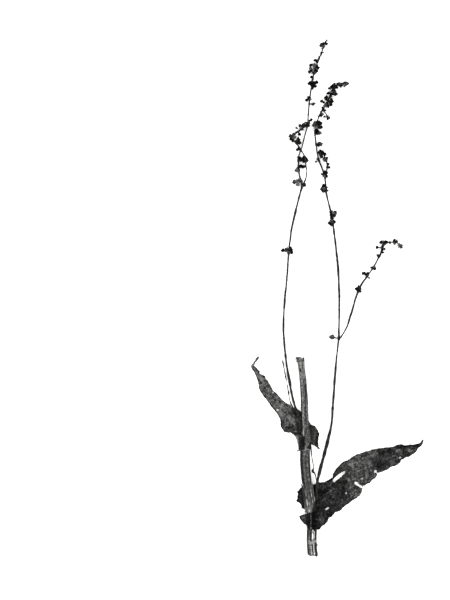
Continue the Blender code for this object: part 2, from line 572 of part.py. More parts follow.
def make_ocrea(name, parts, material):
    """A papery sheath torn open along the stem: an arched sheet that follows the stem's outside."""
    foot, head, first_angle, last_angle = OCREAE[name]
    y = np.linspace(foot, head, OCREA_ROWS)
    x, z, half_width = (value[:, None] for value in stem_at(y))
    turn = np.radians(np.linspace(first_angle, last_angle, OCREA_COLUMNS))[None, :]
    stand_off = OCREA_GAP + OCREA_THICKNESS / 2 + STEM_RIB_HEIGHT * half_width
    across = x + (half_width + stand_off) * np.cos(turn)
    up = z + (STEM_FLATTENING * half_width + stand_off) * np.sin(turn)
    along = np.broadcast_to(y[:, None], across.shape)
    return make_sheet(name, np.stack((across, along, up), axis=-1), OCREA_THICKNESS, parts, material)


def fruit_places(route, whorls, seed):
    """For each fruit its root on the axis, its middle and its size.

    A whorl's fruits fan out round its middle like seeds on a sunflower's head, all from the nearest place on the
    axis. A fruit that would sit in the axis is raised above it, and none reaches the floor.
    """
    draw = np.random.default_rng(seed)
    placed = []
    for x, y, spread, count, size in whorls:
        nearest = np.argmin((route[:, 0] - x) ** 2 + (route[:, 1] - y) ** 2)
        root = route[nearest, :3]
        order = np.arange(count)
        turn = GOLDEN_ANGLE * order + draw.uniform(0, 2 * math.pi)
        away = spread * np.sqrt((order + 0.5) / count)
        middle = np.stack((x + away * np.cos(turn), y + away * np.sin(turn), np.full(count, root[2])), axis=1)
        sideways = np.linalg.norm(middle[:, :2] - root[:2], axis=1)
        middle[:, 2] += np.sqrt(np.maximum((FRUIT_LIFT * size) ** 2 - sideways**2, 0))
        middle[:, 2] += draw.uniform(-0.3, 0.4, count) * size
        middle[:, 2] = np.maximum(middle[:, 2], FRUIT_WING_REACH * size + FLOOR_CLEARANCE)
        placed += [(root, centre, size) for centre in middle]
    return placed


def fruit_mesh(name, root, middle, size, roll):
    """A three-winged fruit on its stalk: a loft from the stalk's triangle to a star of three wings and to a point."""
    axis = middle - root
    length = np.linalg.norm(axis)
    axis = axis / length
    side = np.cross(axis, (0.0, 0.0, 1.0) if abs(axis[2]) < 0.9 else (1.0, 0.0, 0.0))
    side = side / np.linalg.norm(side)
    other = np.cross(axis, side)
    star_sides = 2 * FRUIT_WINGS
    star_reach = np.where(np.arange(star_sides) % 2, FRUIT_WAIST_REACH, FRUIT_WING_REACH) * size

    def ring(height, reach, sides, start):
        turn = roll + start + 2 * math.pi * np.arange(sides) / sides
        spokes = np.cos(turn)[:, None] * side + np.sin(turn)[:, None] * other
        return root + axis * height + spokes * np.broadcast_to(reach, sides)[:, None]

    base_height = max(length - 0.5 * size, 0.25 * length)
    made = bmesh.new()
    root_ring = [made.verts.new(p) for p in ring(0.0, PEDICEL_RADIUS, PEDICEL_SIDES, 0.0)]
    neck_ring = [made.verts.new(p) for p in ring(base_height, PEDICEL_RADIUS, PEDICEL_SIDES, 0.0)]
    star_ring = [made.verts.new(p) for p in ring(length, star_reach, star_sides, 0.0)]
    point = made.verts.new(root + axis * (length + 0.5 * size))
    made.faces.new(root_ring[::-1])
    for k in range(PEDICEL_SIDES):
        following = (k + 1) % PEDICEL_SIDES
        made.faces.new((root_ring[k], root_ring[following], neck_ring[following], neck_ring[k]))
        wing, waist, next_wing = star_ring[2 * k], star_ring[2 * k + 1], star_ring[2 * following]
        made.faces.new((neck_ring[k], waist, wing))
        made.faces.new((neck_ring[k], neck_ring[following], waist))
        made.faces.new((neck_ring[following], next_wing, waist))
        made.faces.new((wing, waist, point))
        made.faces.new((waist, next_wing, point))
    bmesh.ops.recalc_face_normals(made, faces=made.faces)
    mesh = bpy.data.meshes.new(name)
    made.to_mesh(mesh)
    made.free()
    return mesh


def make_branch(name, sprays, seed, parts, material):
    """Axes with their whorls of fruit, joined in one solid. The first spray is the branch's own axis."""
    growths = bpy.data.collections.new(name + "_growths")
    bpy.context.scene.collection.children.link(growths)
    draw = np.random.default_rng(seed)
    branch = None
    for number, (route, whorls) in enumerate(sprays):
        points = smooth_route(route, BRANCH_STEP)
        home = parts if branch is None else growths
        axis = add_curve(name if branch is None else f"{name}_axis_{number}", points, home, material)
        axis.data.bevel_depth = 1.0
        axis.data.bevel_resolution = BRANCH_BEVEL_RESOLUTION
        axis.data.use_fill_caps = True
        tube = curve_to_mesh(axis, home)
        branch = branch or tube
        roots = split_straight(points, ROOTS_PER_STEP)
        for order, (root, middle, size) in enumerate(fruit_places(roots, whorls, seed + number)):
            mesh = fruit_mesh(f"{name}_fruit", root, middle, size, draw.uniform(0, 2 * math.pi))
            add_object(f"{name}_fruit_{number}_{order}", mesh, growths, material)
    union = branch.modifiers.new("growths", "BOOLEAN")
    union.operation = "UNION"
    union.operand_type = "COLLECTION"
    union.collection = growths
    union.solver = "MANIFOLD"
    graph = bpy.context.evaluated_depsgraph_get()
    joined = bpy.data.meshes.new_from_object(branch.evaluated_get(graph))
    branch.modifiers.clear()
    branch.data = joined
    for used in list(growths.objects):
        bpy.data.objects.remove(used)
    bpy.data.collections.remove(growths)
    return branch


def main():
    clear_scene()
    parts = new_collection(SPRIG)
    helpers = new_collection("outlines")
    stem_skin = plant_material("dry_stem", STEM_COLOUR, 0.75)
    branch_skin = plant_material("dry_branch", BRANCH_COLOUR, 0.8)
    leaf_skin = plant_material("dry_leaf", LEAF_COLOUR, 0.8)
    ocrea_skin = plant_material("papery_sheath", OCREA_COLOUR, 0.6)

    cut_through(make_stem(parts, helpers, stem_skin), CUTS["main_stem"])
    for name, base, blade, bulge in (
        ("lower_leaf", LOWER_LEAF_BASE, LOWER_LEAF_BLADE, LOWER_LEAF_BULGE),
        ("upper_leaf", UPPER_LEAF_BASE, UPPER_LEAF_BLADE, UPPER_LEAF_BULGE),
    ):
        grid = refined(leaf_cage(base, blade, bulge), LEAF_ROW_STEPS, LEAF_CROSS_STEPS)
        cut_through(make_sheet(name, grid, LEAF_THICKNESS, parts, leaf_skin), CUTS[name])
    for name in OCREAE:
        make_ocrea(name, parts, ocrea_skin)
    left = ((LEFT_AXIS, LEFT_WHORLS), (LEFT_SPRAY, LEFT_SPRAY_WHORLS), (LEFT_TWIG, ()))
    right = (
        (RIGHT_AXIS, RIGHT_WHORLS),
        (RIGHT_SPRAY, RIGHT_SPRAY_WHORLS),
        (HANGING_TWIG, HANGING_WHORLS),
        (RIGHT_TWIG, ()),
    )
    make_branch("left_branch", left, 11, parts, branch_skin)
    make_branch("right_branch", right, 23, parts, branch_skin)
    make_branch("side_branch", ((SIDE_AXIS, SIDE_WHORLS),), 37, parts, branch_skin)


main()
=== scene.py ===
"""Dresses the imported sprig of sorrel: a pressed, dried stem with two clasping leaves, papery sheaths and
three fruiting branches, lying on a pale sheet and seen from straight above.

Laid out as a Blender add-on and run as a script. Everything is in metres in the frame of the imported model.
Every surface is a function of two parameters worked out with numpy: rows and columns of a leaf, length and
turn of a stalk.
"""

import math

import bpy
import numpy as np
from bpy.props import FloatProperty, FloatVectorProperty, PointerProperty
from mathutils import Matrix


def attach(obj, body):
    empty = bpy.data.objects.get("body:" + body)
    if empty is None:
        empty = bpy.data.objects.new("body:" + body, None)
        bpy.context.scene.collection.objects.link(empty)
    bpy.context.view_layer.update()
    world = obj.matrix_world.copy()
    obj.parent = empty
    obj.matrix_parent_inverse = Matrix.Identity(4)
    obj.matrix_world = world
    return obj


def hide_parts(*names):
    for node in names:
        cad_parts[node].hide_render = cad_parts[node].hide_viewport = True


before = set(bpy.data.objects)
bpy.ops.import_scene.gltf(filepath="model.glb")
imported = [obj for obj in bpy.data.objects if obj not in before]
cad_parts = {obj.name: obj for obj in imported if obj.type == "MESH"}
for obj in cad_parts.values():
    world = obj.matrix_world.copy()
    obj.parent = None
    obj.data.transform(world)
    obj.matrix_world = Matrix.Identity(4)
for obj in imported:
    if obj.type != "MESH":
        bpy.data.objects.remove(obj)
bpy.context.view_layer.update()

bl_info = {
    "name": "Sorrel sprig",
    "version": (1, 0, 0),
    "blender": (4, 5, 0),
    "location": "3D View > Sidebar > Sorrel sprig",
    "description": "Builds a pressed sprig of sorrel round its packed frame",
    "category": "Object",
}

BODY = "root"
SKIN_UV = "skin"

# The photograph's frame: its height in metres and where its middle is. Then the strength of the sheet's glow,
# painted light that fills in the shadows round the sprig, and the tilt of the lamps.
SHEET_HEIGHT = 0.420
SHEET_MIDDLE = (-0.0784, -0.00105)
SHEET_SHADOW_FILL_GLOW = 0.35
LAMP_TILT = math.radians(40)
# Where a stem's share of pale colour starts to bleach and where it is fully bleached.
BLEACHED_SHARE = (1.25, 1.8)


def metres(*rows):
    """A table in metres from rows in millimetres."""
    return np.array(rows) / 1000


def whorl_table(*rows):
    """Whorls in metres: x, y of the middle, spread, number of fruits, their size and how much paler, or 0."""
    return np.array([(*row, 0)[:6] for row in rows]) * (0.001, 0.001, 0.001, 1, 0.001, 1)


# Main stem in millimetres: x, y, z of the centre line and half the width, from its foot to its broken top.
STEM_ROUTE = metres(
    (-17, -180.6, 2.1, 3.4), (-17.7, -170, 2.1, 3.4), (-17.7, -162, 2.3, 3.2), (-18.2, -151.6, 3, 3.2),
    (-19, -143.2, 3.5, 3.4), (-20.6, -132.7, 3.6, 3.2), (-22.1, -120, 3.6, 3.4), (-22.5, -109.6, 3.6, 3.4),
    (-22.2, -103, 3.4, 3.2), (-22.3, -94.2, 3.2, 2.6), (-22.6, -82.3, 3, 2.5), (-22.9, -71.1, 2.7, 2.4),
    (-23.6, -59.2, 2, 2.3), (-24.6, -49.4, 1.5, 2.3), (-25.6, -41.5, 1.5, 2.4),
)
STEM_FLATTENING = 0.68
STEM_UNDERSIDE = 0.62
STEM_RINGS, STEM_SIDES, STEM_RIBS = 330, 96, 8
# Where the stem's broken ends start along y, and how long they are.
STEM_FOOT, STEM_TOP, BREAK_LENGTH = -0.1776, -0.0445, 0.0030
# Rings that lead into the hollow of a broken end: share of the stem's width, and depth.
HOLLOW_STEPS = ((0.90, 0.0001), (0.78, 0.0004), (0.70, 0.0014), (0.62, 0.0030), (0.40, 0.0042))
# Streaks on the stem: place across in half-widths, from y, to y in metres, half the width in half-widths,
# and how much paler (above nought) or darker it is.
STEM_STREAKS = (
    (-0.85, -0.181, -0.1618, 0.16, -0.35), (-0.24, -0.1695, -0.154, 0.13, -0.55),
    (0.16, -0.1682, -0.1645, 0.13, 1.4), (0.16, -0.1645, -0.16, 0.13, 0.75),
    (0, -0.1815, -0.1797, 1.4, -0.45), (0.52, -0.1676, -0.1625, 0.06, 0.9),
    (0.76, -0.169, -0.1615, 0.12, -0.5), (0, -0.1718, -0.1686, 1.3, 0.3),
    (-0.2, -0.1802, -0.1725, 0.06, 0.75), (0.06, -0.1805, -0.172, 0.08, -0.35),
    (0.33, -0.1795, -0.1715, 0.1, 0.8), (0.72, -0.181, -0.1705, 0.15, -0.6),
    (-0.8, -0.133, -0.106, 0.26, -0.45), (-0.3, -0.132, -0.108, 0.18, 0.18),
    (0.45, -0.131, -0.108, 0.12, 0.15), (0.85, -0.133, -0.108, 0.12, -0.25),
    (0.1, -0.106, -0.1015, 0.8, 0.35), (-0.55, -0.101, -0.093, 0.14, 0.45),
    (-0.9, -0.093, -0.06, 0.14, -0.3), (-0.45, -0.094, -0.056, 0.16, 0.25),
    (0.25, -0.09, -0.07, 0.14, -0.25), (0.5, -0.07, -0.06, 0.2, -0.5), (0.85, -0.086, -0.06, 0.12, 0.1),
    (0, -0.056, -0.04, 1.2, 0.22), (-0.6, -0.052, -0.042, 0.12, -0.25), (0.3, -0.05, -0.043, 0.14, -0.3),
    (-0.45, -0.0515, -0.0495, 0.2, -0.5), (0, -0.06, -0.054, 0.12, -0.35), (0.7, -0.15, -0.143, 0.4, -0.6),
    (0, -0.133, -0.1085, 1.5, -0.13),
)
STREAK_BLUR = 0.0012

# Leaves. The base is rows of seven points in millimetres, from the lower margin over the midrib to the
# upper one. The lower leaf's starts at the slit between its basal lobes: the front lobe crosses over the
# stem, the back lobe passes under. The upper leaf's starts at the flap over the stem's left side and goes
# under the stem to its right. The blade is rows of lower margin, midrib and upper margin. The ragged edges
# in plan go from the basal lobes to the tip. Holes and patches are ovals: x, y, half the length, half the
# width in millimetres and degrees from +X. Tones are the base's and the tip's, from nought, black, to one,
# mid grey, and a patch ends with how much it is paler or darker.
LEAVES = {
    "lower_leaf": {
        "rows": 340, "columns": 91, "seed": 5, "bulge": 0.0009, "tones": (0.33, 0.6),
        "base": metres(
            (-26, -151.6, 3.4), (-21.7, -150, 6), (-16.5, -149.3, 6.4), (-13.3, -148.3, 3.3),
            (-16.1, -147.1, 0.5), (-21.4, -146.5, 0.35), (-25.5, -145, 0.35), (-23.1, -156.1, 4.3),
            (-19.3, -154, 6.1), (-15.1, -152.3, 6), (-11.6, -147.8, 2.6), (-14.4, -143.5, 0.8),
            (-20.7, -142.3, 0.35), (-27.4, -140.6, 0.35), (-19.9, -160.9, 5.2), (-16.5, -159.3, 5.7),
            (-12.6, -155.4, 4.4), (-9.5, -147, 1.9), (-13, -140, 0.9), (-20.3, -138, 0.35),
            (-27.9, -136.2, 0.35), (-16.5, -161.7, 5.9), (-13.8, -158.8, 5.2), (-10.9, -154.2, 3.4),
            (-7.9, -146, 1.6), (-11.6, -138.5, 0.9), (-19, -136.1, 0.4), (-26, -134.1, 0.35),
            (-13.3, -161.5, 4.3), (-11.2, -158.2, 3.2), (-9.1, -153, 2.4), (-6.3, -144.9, 1.3),
            (-10.2, -136.9, 0.9), (-17.5, -134.2, 0.4), (-24.1, -132, 0.35),
        ).reshape(-1, 7, 3),
        "blade": metres(
            (-7.3, -155.9, 1.6), (-1.4, -140.9, 1), (-17.2, -130.3, 0.8), (-1.4, -149.9, 0.9),
            (3.4, -137.4, 1.1), (-8.4, -128, 1.4), (5.6, -145.3, 1.4), (8.4, -133.8, 1.2),
            (-2.8, -123.3, 1.6), (11.6, -141.1, 2), (13.4, -130.3, 1.4), (3.4, -116.5, 2),
            (16.8, -134.9, 1.8), (18.8, -126.5, 1.5), (11.2, -112.6, 2.4), (23, -129.4, 0.8),
            (24.5, -122.6, 1.5), (19.6, -108.7, 2), (28.8, -123.8, 0.6), (30.8, -118.8, 1.5),
            (27.9, -106.4, 1.4), (35.1, -120, 1), (37, -115, 1.8), (35.7, -104.9, 1.4), (41.7, -116.1, 1.8),
            (43.1, -111.2, 2.2), (43.1, -103.2, 2), (48.2, -111.4, 2), (49.1, -107.5, 2.4),
            (49.7, -103.4, 2.6), (53.6, -108, 2.4), (54, -105.8, 3), (54.3, -103.7, 3.2),
            (57.3, -103.7, 3.6), (57.7, -102.9, 3.8), (58.1, -102.2, 4), (59.8, -99.8, 4.8),
            (60.2, -99.5, 5), (60.6, -99.2, 5),
        ).reshape(-1, 3, 3),
        "low_edge": metres(
            (-26.5, -152), (-26.1, -153.5), (-25.6, -154.7), (-24.5, -156), (-23.4, -157), (-22.5, -157.2),
            (-21.8, -158.1), (-20.9, -158.8), (-20.4, -160.3), (-20, -161.3), (-17.5, -161.5),
            (-15, -161.6), (-12.9, -161.5), (-11.8, -160.8), (-11.1, -159.9), (-9.7, -158.7),
            (-7.9, -157.4), (-6.6, -156.2), (-6.3, -155.1), (-6.5, -154), (-5.4, -153.5), (-3.6, -152.8),
            (-2.5, -151.7), (-1.5, -149.9), (0, -149.5), (1.4, -149), (3.2, -147.9), (3.9, -146.7),
            (5.3, -145.3), (7.1, -144), (8.2, -143.4), (9.3, -142.3), (11.5, -141.2), (13.8, -139.8),
            (15.7, -137.9), (17, -136.5), (17.2, -134.7), (16.4, -133), (17.1, -131.6), (19.9, -130.5),
            (22.9, -129.2), (24.1, -127.6), (26.1, -126.3), (27.4, -125), (27.5, -123.1), (27.9, -122),
            (29.6, -122.1), (32.2, -121.1), (35.5, -119.5), (38.1, -117.9), (40.7, -117.2), (42.9, -115.6),
            (44.2, -114.3), (44.9, -112.5), (46.2, -112.5), (47.8, -111.4), (49.7, -110.8), (53, -109.1),
            (54.9, -107.5), (55.9, -105.9), (56.3, -104.9), (58.7, -102.9), (59.7, -101.5), (60.5, -99.5),
            (60.6, -98.6),
        ),
        "high_edge": metres(
            (-22.5, -147.9), (-23.3, -148.6), (-24.3, -147.8), (-25.2, -147.2), (-24.5, -146),
            (-25.2, -144.5), (-26.5, -143.1), (-28.4, -142.4), (-28.6, -141.5), (-27.5, -140.3),
            (-27.9, -138.7), (-27.2, -137.4), (-27.9, -135.4), (-26.1, -133.8), (-24.5, -132.2),
            (-23, -131.4), (-16.3, -130.1), (-14.1, -129.4), (-11.8, -128.9), (-8.6, -128.3), (-6, -127),
            (-4.3, -125.9), (-3.2, -125.5), (-2.9, -123.3), (-1.6, -121.2), (-1.3, -119.4), (0.9, -117.7),
            (2.6, -115.8), (4.5, -114.2), (6.8, -113.4), (8.9, -112), (11.2, -110.4), (14.1, -109),
            (16.7, -108), (19.9, -107.1), (23.2, -106.2), (26.4, -105.4), (30.3, -104.9), (33.5, -104.4),
            (36.8, -104), (39.5, -103.5), (41.5, -102.4), (45.8, -102.1), (47.8, -102.9), (50, -102.3),
            (53, -102.1), (55.8, -101.7), (57.4, -100.9), (58.5, -99.8), (59.5, -98.2),
        ),
        "holes": (
            (1.6, -124.3, 5.4, 1.15, 40), (-1.6, -126.9, 1.9, 0.9, 66), (-6.9, -147.1, 1.5, 0.75, 28),
            (17.5, -126.1, 1, 0.65, 15), (6.5, -136.4, 0.7, 0.6, 0), (44, -111.3, 0.9, 0.6, 30),
            (13.6, -129.5, 1.5, 1.05, 160), (15.9, -131.2, 2.9, 0.85, 152), (26.9, -121.1, 1, 0.95, 120),
            (28.2, -122.6, 1.9, 0.5, 118), (-18.6, -155.4, 1.1, 0.2, 92), (-18.6, -158.2, 1.2, 0.22, 90),
        ),
        "patches": (
            (-16, -135.2, 5.6, 1.2, 90, -0.35), (-15.2, -138.6, 8, 0.35, 90, 0.3),
            (-12.3, -135.8, 3.1, 3.1, 0, -0.15), (-2.9, -133.9, 3.2, 0.6, 37, 0.35),
            (-2.9, -138.3, 1.6, 1, 30, 0.22), (0.9, -128, 5, 1.6, 38, -0.3),
            (5.2, -128.9, 1.8, 1.8, 0, -0.2), (7.1, -126.4, 2.4, 2, 0, 0.25), (9.6, -132, 2.2, 2.2, 0, 0.2),
            (4, -135.8, 2.4, 1.8, 30, -0.2), (7.7, -138, 1.8, 1.2, 30, -0.15),
            (13.3, -136.8, 3.2, 2.4, 40, 0.16), (10.2, -115.8, 2.6, 2, 30, 0.25),
            (24.3, -110.2, 1.8, 1.5, 0, 0.35), (22.4, -115.5, 1.4, 1.2, 0, 0.25),
            (15.2, -110.8, 1.6, 1, 0, 0.15), (13, -122, 6, 3.5, 30, 0.1), (30.2, -117, 3.2, 2.2, 30, -0.45),
            (25.9, -113.9, 1.6, 1.2, 0, -0.2), (33.4, -107.7, 4.2, 2.4, 15, -0.24),
            (44.6, -103.9, 4.4, 1.2, 0, -0.3), (42.7, -107, 1.6, 1.3, 0, 0.3),
            (50.5, -106.1, 1.6, 1.2, 0, 0.35), (47.7, -107, 2.2, 0.9, -50, -0.28),
            (54.6, -103, 4, 0.8, 5, -0.3), (0.2, -118.9, 1.8, 1.4, 45, -0.2),
            (-4.5, -126.9, 2.6, 0.9, 25, -0.35), (-7.9, -128.9, 0.7, 0.5, 0, 0.4),
            (-6, -152, 4.2, 1.3, 38, -0.22), (-9.8, -154.8, 3.6, 3, 40, 0.26),
            (-12.3, -146.4, 2.6, 2.2, 0, -0.16), (-12.9, -144.5, 1.9, 0.5, 10, 0.3),
            (-23.6, -153, 3, 2.4, -40, 0.26), (-17.3, -154.5, 8.5, 2.9, 90, -0.42),
            (-18.5, -156, 5.6, 0.4, 90, 1.1), (-25.4, -138.9, 3.2, 2.6, 90, 0.14),
            (-23.5, -147, 1.6, 1.4, 0, -0.25), (-6.5, -136, 3, 0.4, 37, 0.3),
            (-9.5, -141, 3.6, 0.4, 30, 0.28), (40, -110.5, 19, 9, 24, -0.15),
            (0.5, -138.5, 3, 0.4, 35, 0.22), (-4, -143, 3.6, 0.4, 35, 0.24),
            (-7.5, -131.2, 2.6, 0.4, 35, 0.2), (-5.5, -139.8, 4, 0.7, 36, -0.22),
            (-8.5, -134.5, 3.6, 0.6, 37, -0.22), (-8, -146, 3, 0.6, 30, -0.2),
        ),
    },
    "upper_leaf": {
        "rows": 280, "columns": 67, "seed": 8, "bulge": 0.0006, "tones": (0.58, 0.7),
        "base": metres(
            (-22.9, -105.4, 6.5), (-25.4, -105.8, 5.7), (-26.8, -105.9, 3.4), (-25.3, -105.6, 1.1),
            (-21.8, -104.2, 0.5), (-18.2, -102.2, 0.5), (-12, -105.6, 0.8), (-22.4, -101.6, 6.35),
            (-25.1, -102, 5.7), (-27.2, -102.4, 3.3), (-25.3, -101.9, 1), (-21.6, -100.6, 0.45),
            (-17.9, -99.4, 0.5), (-13.2, -101.3, 1), (-23, -97.8, 6.1), (-25, -98.3, 5.5),
            (-28.1, -98.9, 2.9), (-26, -98, 0.9), (-22, -96.8, 0.4), (-17.7, -95.6, 0.6),
            (-13.1, -96.9, 1.4), (-24, -95.3, 5.7), (-25.9, -95.7, 4.8), (-29.2, -96.4, 1.7),
            (-27.2, -95, 0.9), (-23.4, -93.4, 0.4), (-18.5, -92.2, 0.6), (-12.5, -94.3, 1.6),
            (-28.2, -94.2, 2.4), (-29.4, -94.6, 2), (-30.3, -94.9, 1.4), (-28, -93.2, 0.9),
            (-23.9, -91.4, 0.4), (-19.4, -90.2, 0.55), (-13.9, -91.7, 1.3), (-33.3, -94.1, 0.8),
            (-31.9, -93.2, 0.9), (-30.3, -92.3, 0.9), (-28, -90.6, 0.8), (-24.6, -88.9, 0.4),
            (-20.6, -87.8, 0.5), (-15.3, -89.4, 1), (-36.5, -93.6, 0.5), (-34.9, -91.6, 0.8),
            (-33.3, -89.6, 0.9), (-30.7, -86.9, 0.7), (-27.2, -84.6, 0.5), (-23.5, -83.6, 0.5),
            (-19.9, -85.5, 0.6), (-38.9, -89, 0.6), (-37.4, -87, 0.9), (-36.1, -85.8, 1.2), (-34, -83.5, 1),
            (-31.5, -81.2, 0.7), (-28.6, -79.6, 0.8), (-24.9, -79.4, 0.7),
        ).reshape(-1, 7, 3),
        "blade": metres(
            (-39.9, -83.7, 0.9), (-36, -78.8, 0.9), (-29.8, -76.7, 1), (-42.3, -79.6, 1),
            (-38.9, -75.3, 1.1), (-34.6, -73.6, 1.2), (-46.5, -74.6, 0.6), (-43, -70.5, 1.1),
            (-39.5, -70.3, 1), (-50.5, -69.1, 0.5), (-47.3, -65.2, 1.2), (-44.4, -65.5, 0.9),
            (-54, -63.5, 0.7), (-51, -60.6, 1.3), (-47.7, -60.3, 1.2), (-55.2, -57.9, 1.2),
            (-53.1, -56.3, 1.5), (-50.5, -55.1, 1.6), (-56.7, -54.2, 1.6), (-55.3, -53.1, 1.8),
            (-53.2, -53.3, 2), (-58.9, -50.3, 2), (-57.7, -49.6, 2.2), (-55.7, -49.2, 2.4),
            (-59.9, -47.7, 2.4), (-59.1, -47.2, 2.6), (-58.2, -47, 2.8), (-58.4, -44.9, 3.2),
            (-57.9, -44.7, 3.4), (-57.4, -45.1, 3.6), (-56.6, -42.4, 4), (-56.2, -42.5, 4.2),
            (-55.9, -42.8, 4.2), (-54.9, -40.6, 4.6), (-54.6, -40.8, 4.6), (-54.3, -41, 4.6),
        ).reshape(-1, 3, 3),
        "low_edge": metres(
            (-22.9, -105.4), (-22.4, -101.6), (-23, -97.8), (-24.2, -95.2), (-28.2, -94.5), (-31, -95),
            (-32.5, -94.1), (-34.9, -93.8), (-36.7, -93.8), (-38.1, -92.1), (-39.3, -89.7), (-39.4, -87.6),
            (-39.3, -85.3), (-40, -83.6), (-41.6, -81.2), (-43.1, -79), (-45.1, -77), (-46.5, -75.1),
            (-48.5, -72.4), (-50, -70.1), (-51.2, -68.4), (-52.4, -66.7), (-54.1, -64.4), (-54.8, -62.7),
            (-54.5, -61.1), (-54.8, -59.6), (-55.5, -57.2), (-55.8, -55.7), (-57.2, -53.2), (-58.1, -51.3),
            (-59, -50.3), (-59.9, -48.1), (-59.9, -47.1), (-58.7, -45.4), (-57.9, -43.6), (-56.6, -41.5),
            (-55.2, -40),
        ),
        "high_edge": metres(
            (-11.9, -105.5), (-12.9, -103.6), (-13.2, -100.1), (-13.1, -96.9), (-12.2, -95.4), (-12, -94.5),
            (-13.2, -92.8), (-14.6, -90.8), (-15.1, -89.5), (-17.2, -89.3), (-17.8, -88.4), (-19.3, -86.1),
            (-20.5, -84.5), (-25.1, -79.3), (-26.1, -78.8), (-28.5, -76.8), (-30.5, -76.8), (-32, -75.8),
            (-32.5, -74.3), (-34.4, -73.9), (-36.2, -72.6), (-37.9, -71.2), (-39.8, -69.5), (-41.8, -67),
            (-43.2, -65.3), (-44.4, -64.5), (-45.4, -63.4), (-46.3, -61.7), (-47.5, -59.3), (-48.5, -57.6),
            (-49.9, -56), (-50.7, -54.3), (-51.6, -53.4), (-53, -53.5), (-54.2, -52.5), (-54, -51),
            (-55.3, -50.2), (-56.4, -48.5), (-57.3, -47.6), (-58.3, -46.9), (-57, -45.1), (-55.8, -43.2),
            (-54.8, -41.9), (-54.1, -40.6),
        ),
        "holes": (
            (-44.9, -65.8, 0.65, 0.5, 20), (-41.5, -78.1, 0.95, 0.65, 10), (-52.2, -53, 0.9, 0.35, 150),
        ),
        "patches": (
            (-53.3, -56.8, 1.3, 1, -60, 0.3), (-51.6, -54, 1.3, 1.1, 0, -0.2),
            (-47.5, -61.1, 3, 0.8, -55, -0.22), (-50, -69, 1, 0.5, -52, -0.5),
            (-46.5, -73.9, 2.6, 0.5, -50, -0.35), (-43.4, -70.8, 0.7, 0.7, 0, -0.4),
            (-40.1, -72.3, 0.9, 0.7, 0, -0.45), (-38.8, -75.4, 3, 0.9, 60, 0.28),
            (-39.3, -81.5, 2.2, 1.8, 0, 0.15), (-33.2, -83.1, 1, 0.8, 0, 0.3),
            (-35.2, -73.9, 1.2, 1, 0, -0.25), (-28.6, -80, 3.6, 2.2, -60, -0.36),
            (-26.1, -84, 5.2, 1, 90, -0.36), (-26.6, -91.2, 2.8, 1, 90, -0.36),
            (-38.8, -87.6, 2.6, 0.7, 100, -0.4), (-34.7, -88.9, 0.9, 0.4, 0, 0.4),
            (-30.4, -87.9, 1.5, 0.4, -50, 0.4), (-34.5, -90.7, 1.2, 0.5, 0, -0.45),
            (-31.7, -89.9, 1.3, 0.6, 20, -0.45), (-24.8, -100.4, 6, 1.7, 82, -0.34),
            (-27.7, -98.9, 2.4, 0.6, 105, 0.7), (-27.1, -103.4, 1.8, 0.5, 90, 0.5),
            (-28.6, -96.6, 1, 0.7, 0, 0.5), (-13.8, -98.9, 4.2, 0.6, 90, -0.36),
            (-57.5, -53, 3.6, 0.5, -59, -0.36), (-55.8, -50.3, 3, 0.6, -55, -0.28),
            (-54.6, -57.3, 0.8, 0.4, -70, -0.4), (-51.2, -54.8, 0.7, 0.7, 0, -0.3),
            (-58.6, -45.6, 3, 0.6, 55, 0.25), (-53.7, -60.6, 0.7, 0.7, 0, 0.16),
            (-50.6, -62.6, 2.4, 0.35, 40, -0.16), (-48, -66, 3.4, 0.35, 35, -0.14),
            (-45.5, -69.5, 3.4, 0.35, 38, -0.14), (-18.9, -90.7, 2.2, 1.2, -60, -0.3),
            (-16.6, -95.6, 5, 3.6, 90, -0.14), (-16.2, -96.5, 1.6, 1, 60, 0.14),
        ),
    },
}

# Papery sheaths: from y, to y, the turn round the stem in degrees (right side at 0, top at 90), how much
# higher the torn foot is on the right, and streaks: turn in degrees, from y, to y, half the width in
# degrees, and how much paler.
SHEATHS = {
    "lower_ocrea": (-0.1486, -0.1303, 20, 176, 0.001, (
        (119, -0.1446, -0.1405, 4, 0.7), (100, -0.144, -0.1415, 3, 0.5), (110, -0.1455, -0.139, 3, -0.4),
        (76, -0.145, -0.1345, 4, -0.3), (62, -0.143, -0.133, 3, 0.3), (45, -0.144, -0.1335, 4, -0.35),
        (32, -0.144, -0.133, 4, 0.4), (104, -0.1486, -0.147, 4, 0.55), (140, -0.146, -0.132, 9, -0.25),
    )),
    "upper_ocrea": (-0.1048, -0.0925, 12, 82, 0, ()),
}
SHEATH_GAP = 0.00045
SHEATH_ROWS, SHEATH_COLUMNS, SHEATH_PLEATS = 70, 72, 34

